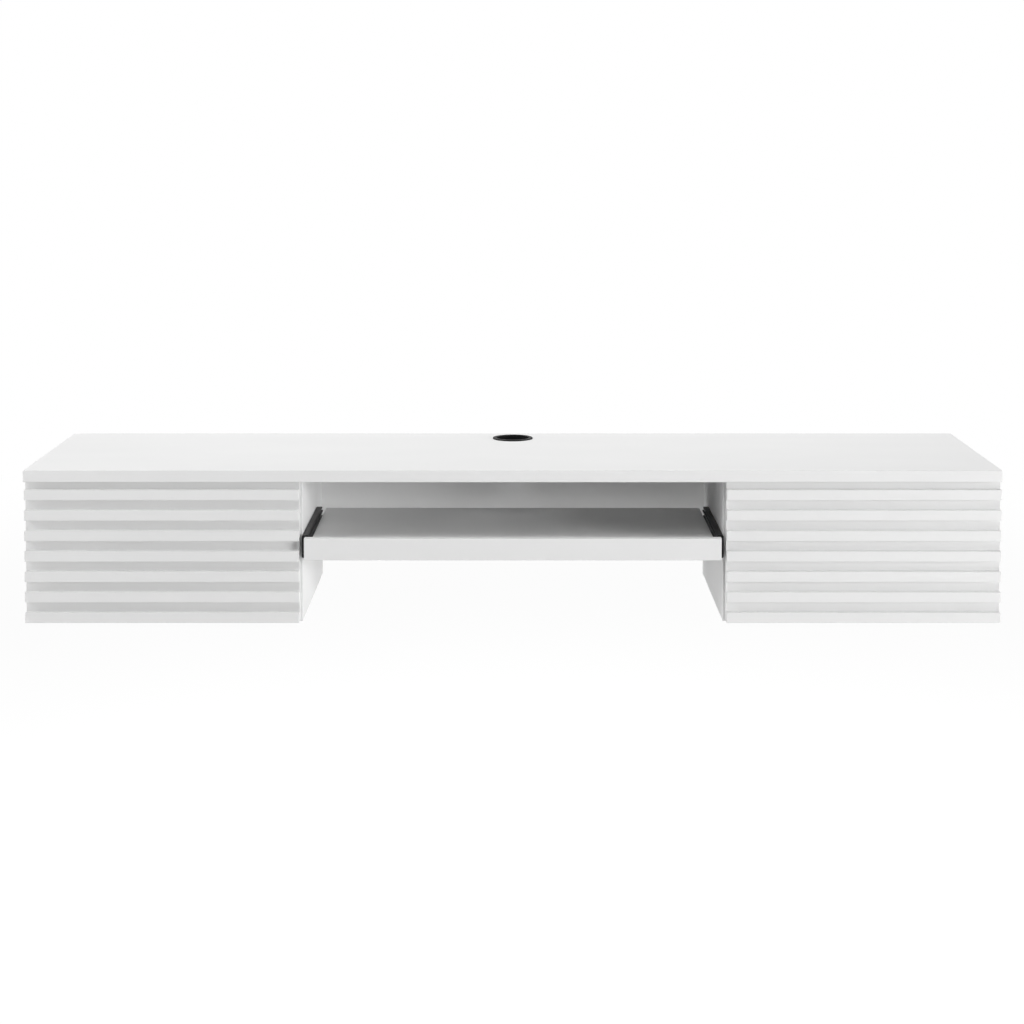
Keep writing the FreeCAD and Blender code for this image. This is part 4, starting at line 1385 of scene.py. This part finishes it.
class StudioTree(NodeTree):
    """The node tree of the room or its floor, which look plain white and cast little light."""

    def seen_directly(self) -> Socket:
        """Return a mask of what the camera, a gloss or a clear body sees.

        Returns:
            The output socket, 1 where one of them looks.
        """
        rays = self.nodes.new("ShaderNodeLightPath").outputs
        mask = self.math("MAXIMUM", rays["Is Camera Ray"], rays["Is Glossy Ray"])
        return self.math("MAXIMUM", mask, rays["Is Transmission Ray"])

    def faded(self, reach: Pair, near: float, far: float) -> Socket:
        """Return a value that changes smoothly from under the desk outwards.

        Args:
            reach: where the change starts and ends, in metres from the middle.
            near: the value under the desk.
            far: the value far off.

        Returns:
            The output socket.
        """
        distance = self.nodes.new("ShaderNodeVectorMath")
        distance.operation = "LENGTH"
        self.links.new(self.nodes.new("ShaderNodeTexCoord").outputs["Object"], distance.inputs[0])
        return self.ranged(distance.outputs["Value"], reach, (near, far), "SMOOTHSTEP")

    def finish(self, output: str, share: Socket, cast: Socket, seen: Socket) -> None:
        """Join two shaders to the tree's output.

        Args:
            output: the type of the output node.
            share: how much of the seen shader shows.
            cast: the shader that lights the desk.
            seen: the shader that is seen.
        """
        mix = self.nodes.new("ShaderNodeMixShader")
        for socket, target in zip((share, cast, seen), mix.inputs):
            self.links.new(socket, target)
        self.links.new(mix.outputs["Shader"], self.nodes.new(output).inputs["Surface"])


@dataclass
class Studio:
    """A white room with no walls: pale floor, soft lamps and a shifted camera.

    The camera's pitch is in degrees, its lens and sensor in millimetres, and its shift in sensor widths.
    """

    camera_place: Triple = (-0.0012, -3.692, 0.6592)
    camera_pitch: float = 2.8
    lens: float = 76.29
    sensor: float = 36.0
    shift_y: float = -0.28
    view_reach: float = 100.0
    floor_z: float = -0.88
    floor_size: float = 30.0
    floor_tone: Colour = (0.8, 0.8, 0.8)
    floor_level: float = 0.55
    shadow_share: float = 0.2
    fade_reach: Pair = (1.5, 6.0)
    ambient: float = 0.07
    lamps: tuple[SoftLight, ...] = (
        SoftLight("key_lamp", 55, 8, 5.0, 1.0, 66.5),
        SoftLight("low_key_lamp", 55, 0, 5.0, 1.0, 44),
        SoftLight("wide_key_lamp", 65, 5, 5.0, 1.0, 57),
        SoftLight("left_lamp", -60, 30, 3.0, 1.0, 21),
        SoftLight("low_left_lamp", -75, 3, 3.0, 1.0, 10),
        SoftLight("low_fill_lamp", -82, -9, 3.0, 0.6, 9),
        SoftLight("overhead_lamp", 0, 60, 3.0, 1.6, 27),
        SoftLight("rear_right_lamp", 155, 40, 3.0, 1.5, 35),
        SoftLight("rear_left_lamp", -155, 40, 3.0, 1.5, 29),
    )

    def add_camera(self) -> None:
        """Add the camera, tipped a little down and shifted down to the desk."""
        data = bpy.data.cameras.new("desk_camera")
        data.lens = self.lens
        data.sensor_width = self.sensor
        data.shift_y = self.shift_y
        data.clip_end = self.view_reach
        camera = add_object("desk_camera", data)
        camera.location = self.camera_place
        camera.rotation_euler = (math.pi / 2 - math.radians(self.camera_pitch), 0, 0)
        bpy.context.scene.camera = camera

    def add_world(self) -> None:
        """Add the even light of the room, seen as plain white."""
        world = bpy.data.worlds.new("white_room")
        bpy.context.scene.world = world
        world.use_nodes = True
        tree = StudioTree(world.node_tree)
        tree.nodes.clear()
        shaders = []
        for strength in (self.ambient, 1.0):
            background = tree.nodes.new("ShaderNodeBackground")
            background.inputs["Color"].default_value = (1, 1, 1, 1)
            background.inputs["Strength"].default_value = strength
            shaders.append(background.outputs["Background"])
        tree.finish("ShaderNodeOutputWorld", tree.seen_directly(), *shaders)

    def floor_material(self) -> bpy.types.Material:
        """Make the floor's material: pale, and seen as white but for the desk's shadow.

        Returns:
            The material.
        """
        material = bpy.data.materials.new("pale_floor")
        material.use_nodes = True
        tree = StudioTree(material.node_tree)
        tree.nodes.clear()
        diffuse = tree.nodes.new("ShaderNodeBsdfDiffuse")
        diffuse.inputs["Color"].default_value = (*self.floor_tone, 1)
        glow = tree.nodes.new("ShaderNodeEmission")
        bare = (1 - self.shadow_share * self.floor_level) / (1 - self.shadow_share)
        tree.links.new(tree.faded(self.fade_reach, bare, 1.0), glow.inputs["Strength"])
        lit = tree.faded(self.fade_reach, 1 - self.shadow_share, 1.0)
        share = tree.math("MULTIPLY", tree.seen_directly(), lit)
        tree.finish("ShaderNodeOutputMaterial", share, diffuse.outputs["BSDF"], glow.outputs["Emission"])
        return material

    def add_floor(self) -> None:
        """Add the pale floor, far below the hung desk, with the desk's soft shadow on it."""
        build = bmesh.new()
        bmesh.ops.create_grid(build, x_segments=1, y_segments=1, size=self.floor_size / 2)
        mesh = bpy.data.meshes.new("floor")
        build.to_mesh(mesh)
        build.free()
        mesh.materials.append(self.floor_material())
        floor = add_object("floor", mesh)
        floor.location = (0, 0, self.floor_z)

    def build(self) -> None:
        """Set the room, the camera and the lamps."""
        low, high = CAD_BOX
        aim = (low + high) / 2
        self.add_camera()
        self.add_world()
        self.add_floor()
        for lamp in self.lamps:
            lamp.place(aim)
        bpy.context.scene.view_settings.view_transform = "Standard"


def main() -> None:
    """Build the studio and every sub-assembly."""
    logging.basicConfig(level=logging.INFO, format="%(name)s: %(message)s")
    Studio().build()
    Worktop().dress()
    Carcass().build()
    WallHanging().build()
    for side in Side:
        SlattedDoor(side).build()
        FlapStay(side).dress()
        BallSlide(side).build()
    KeyboardTray().build()
    dress_all(("hinge_pins", "stay_posts"))


if __name__ == "__main__":
    main()
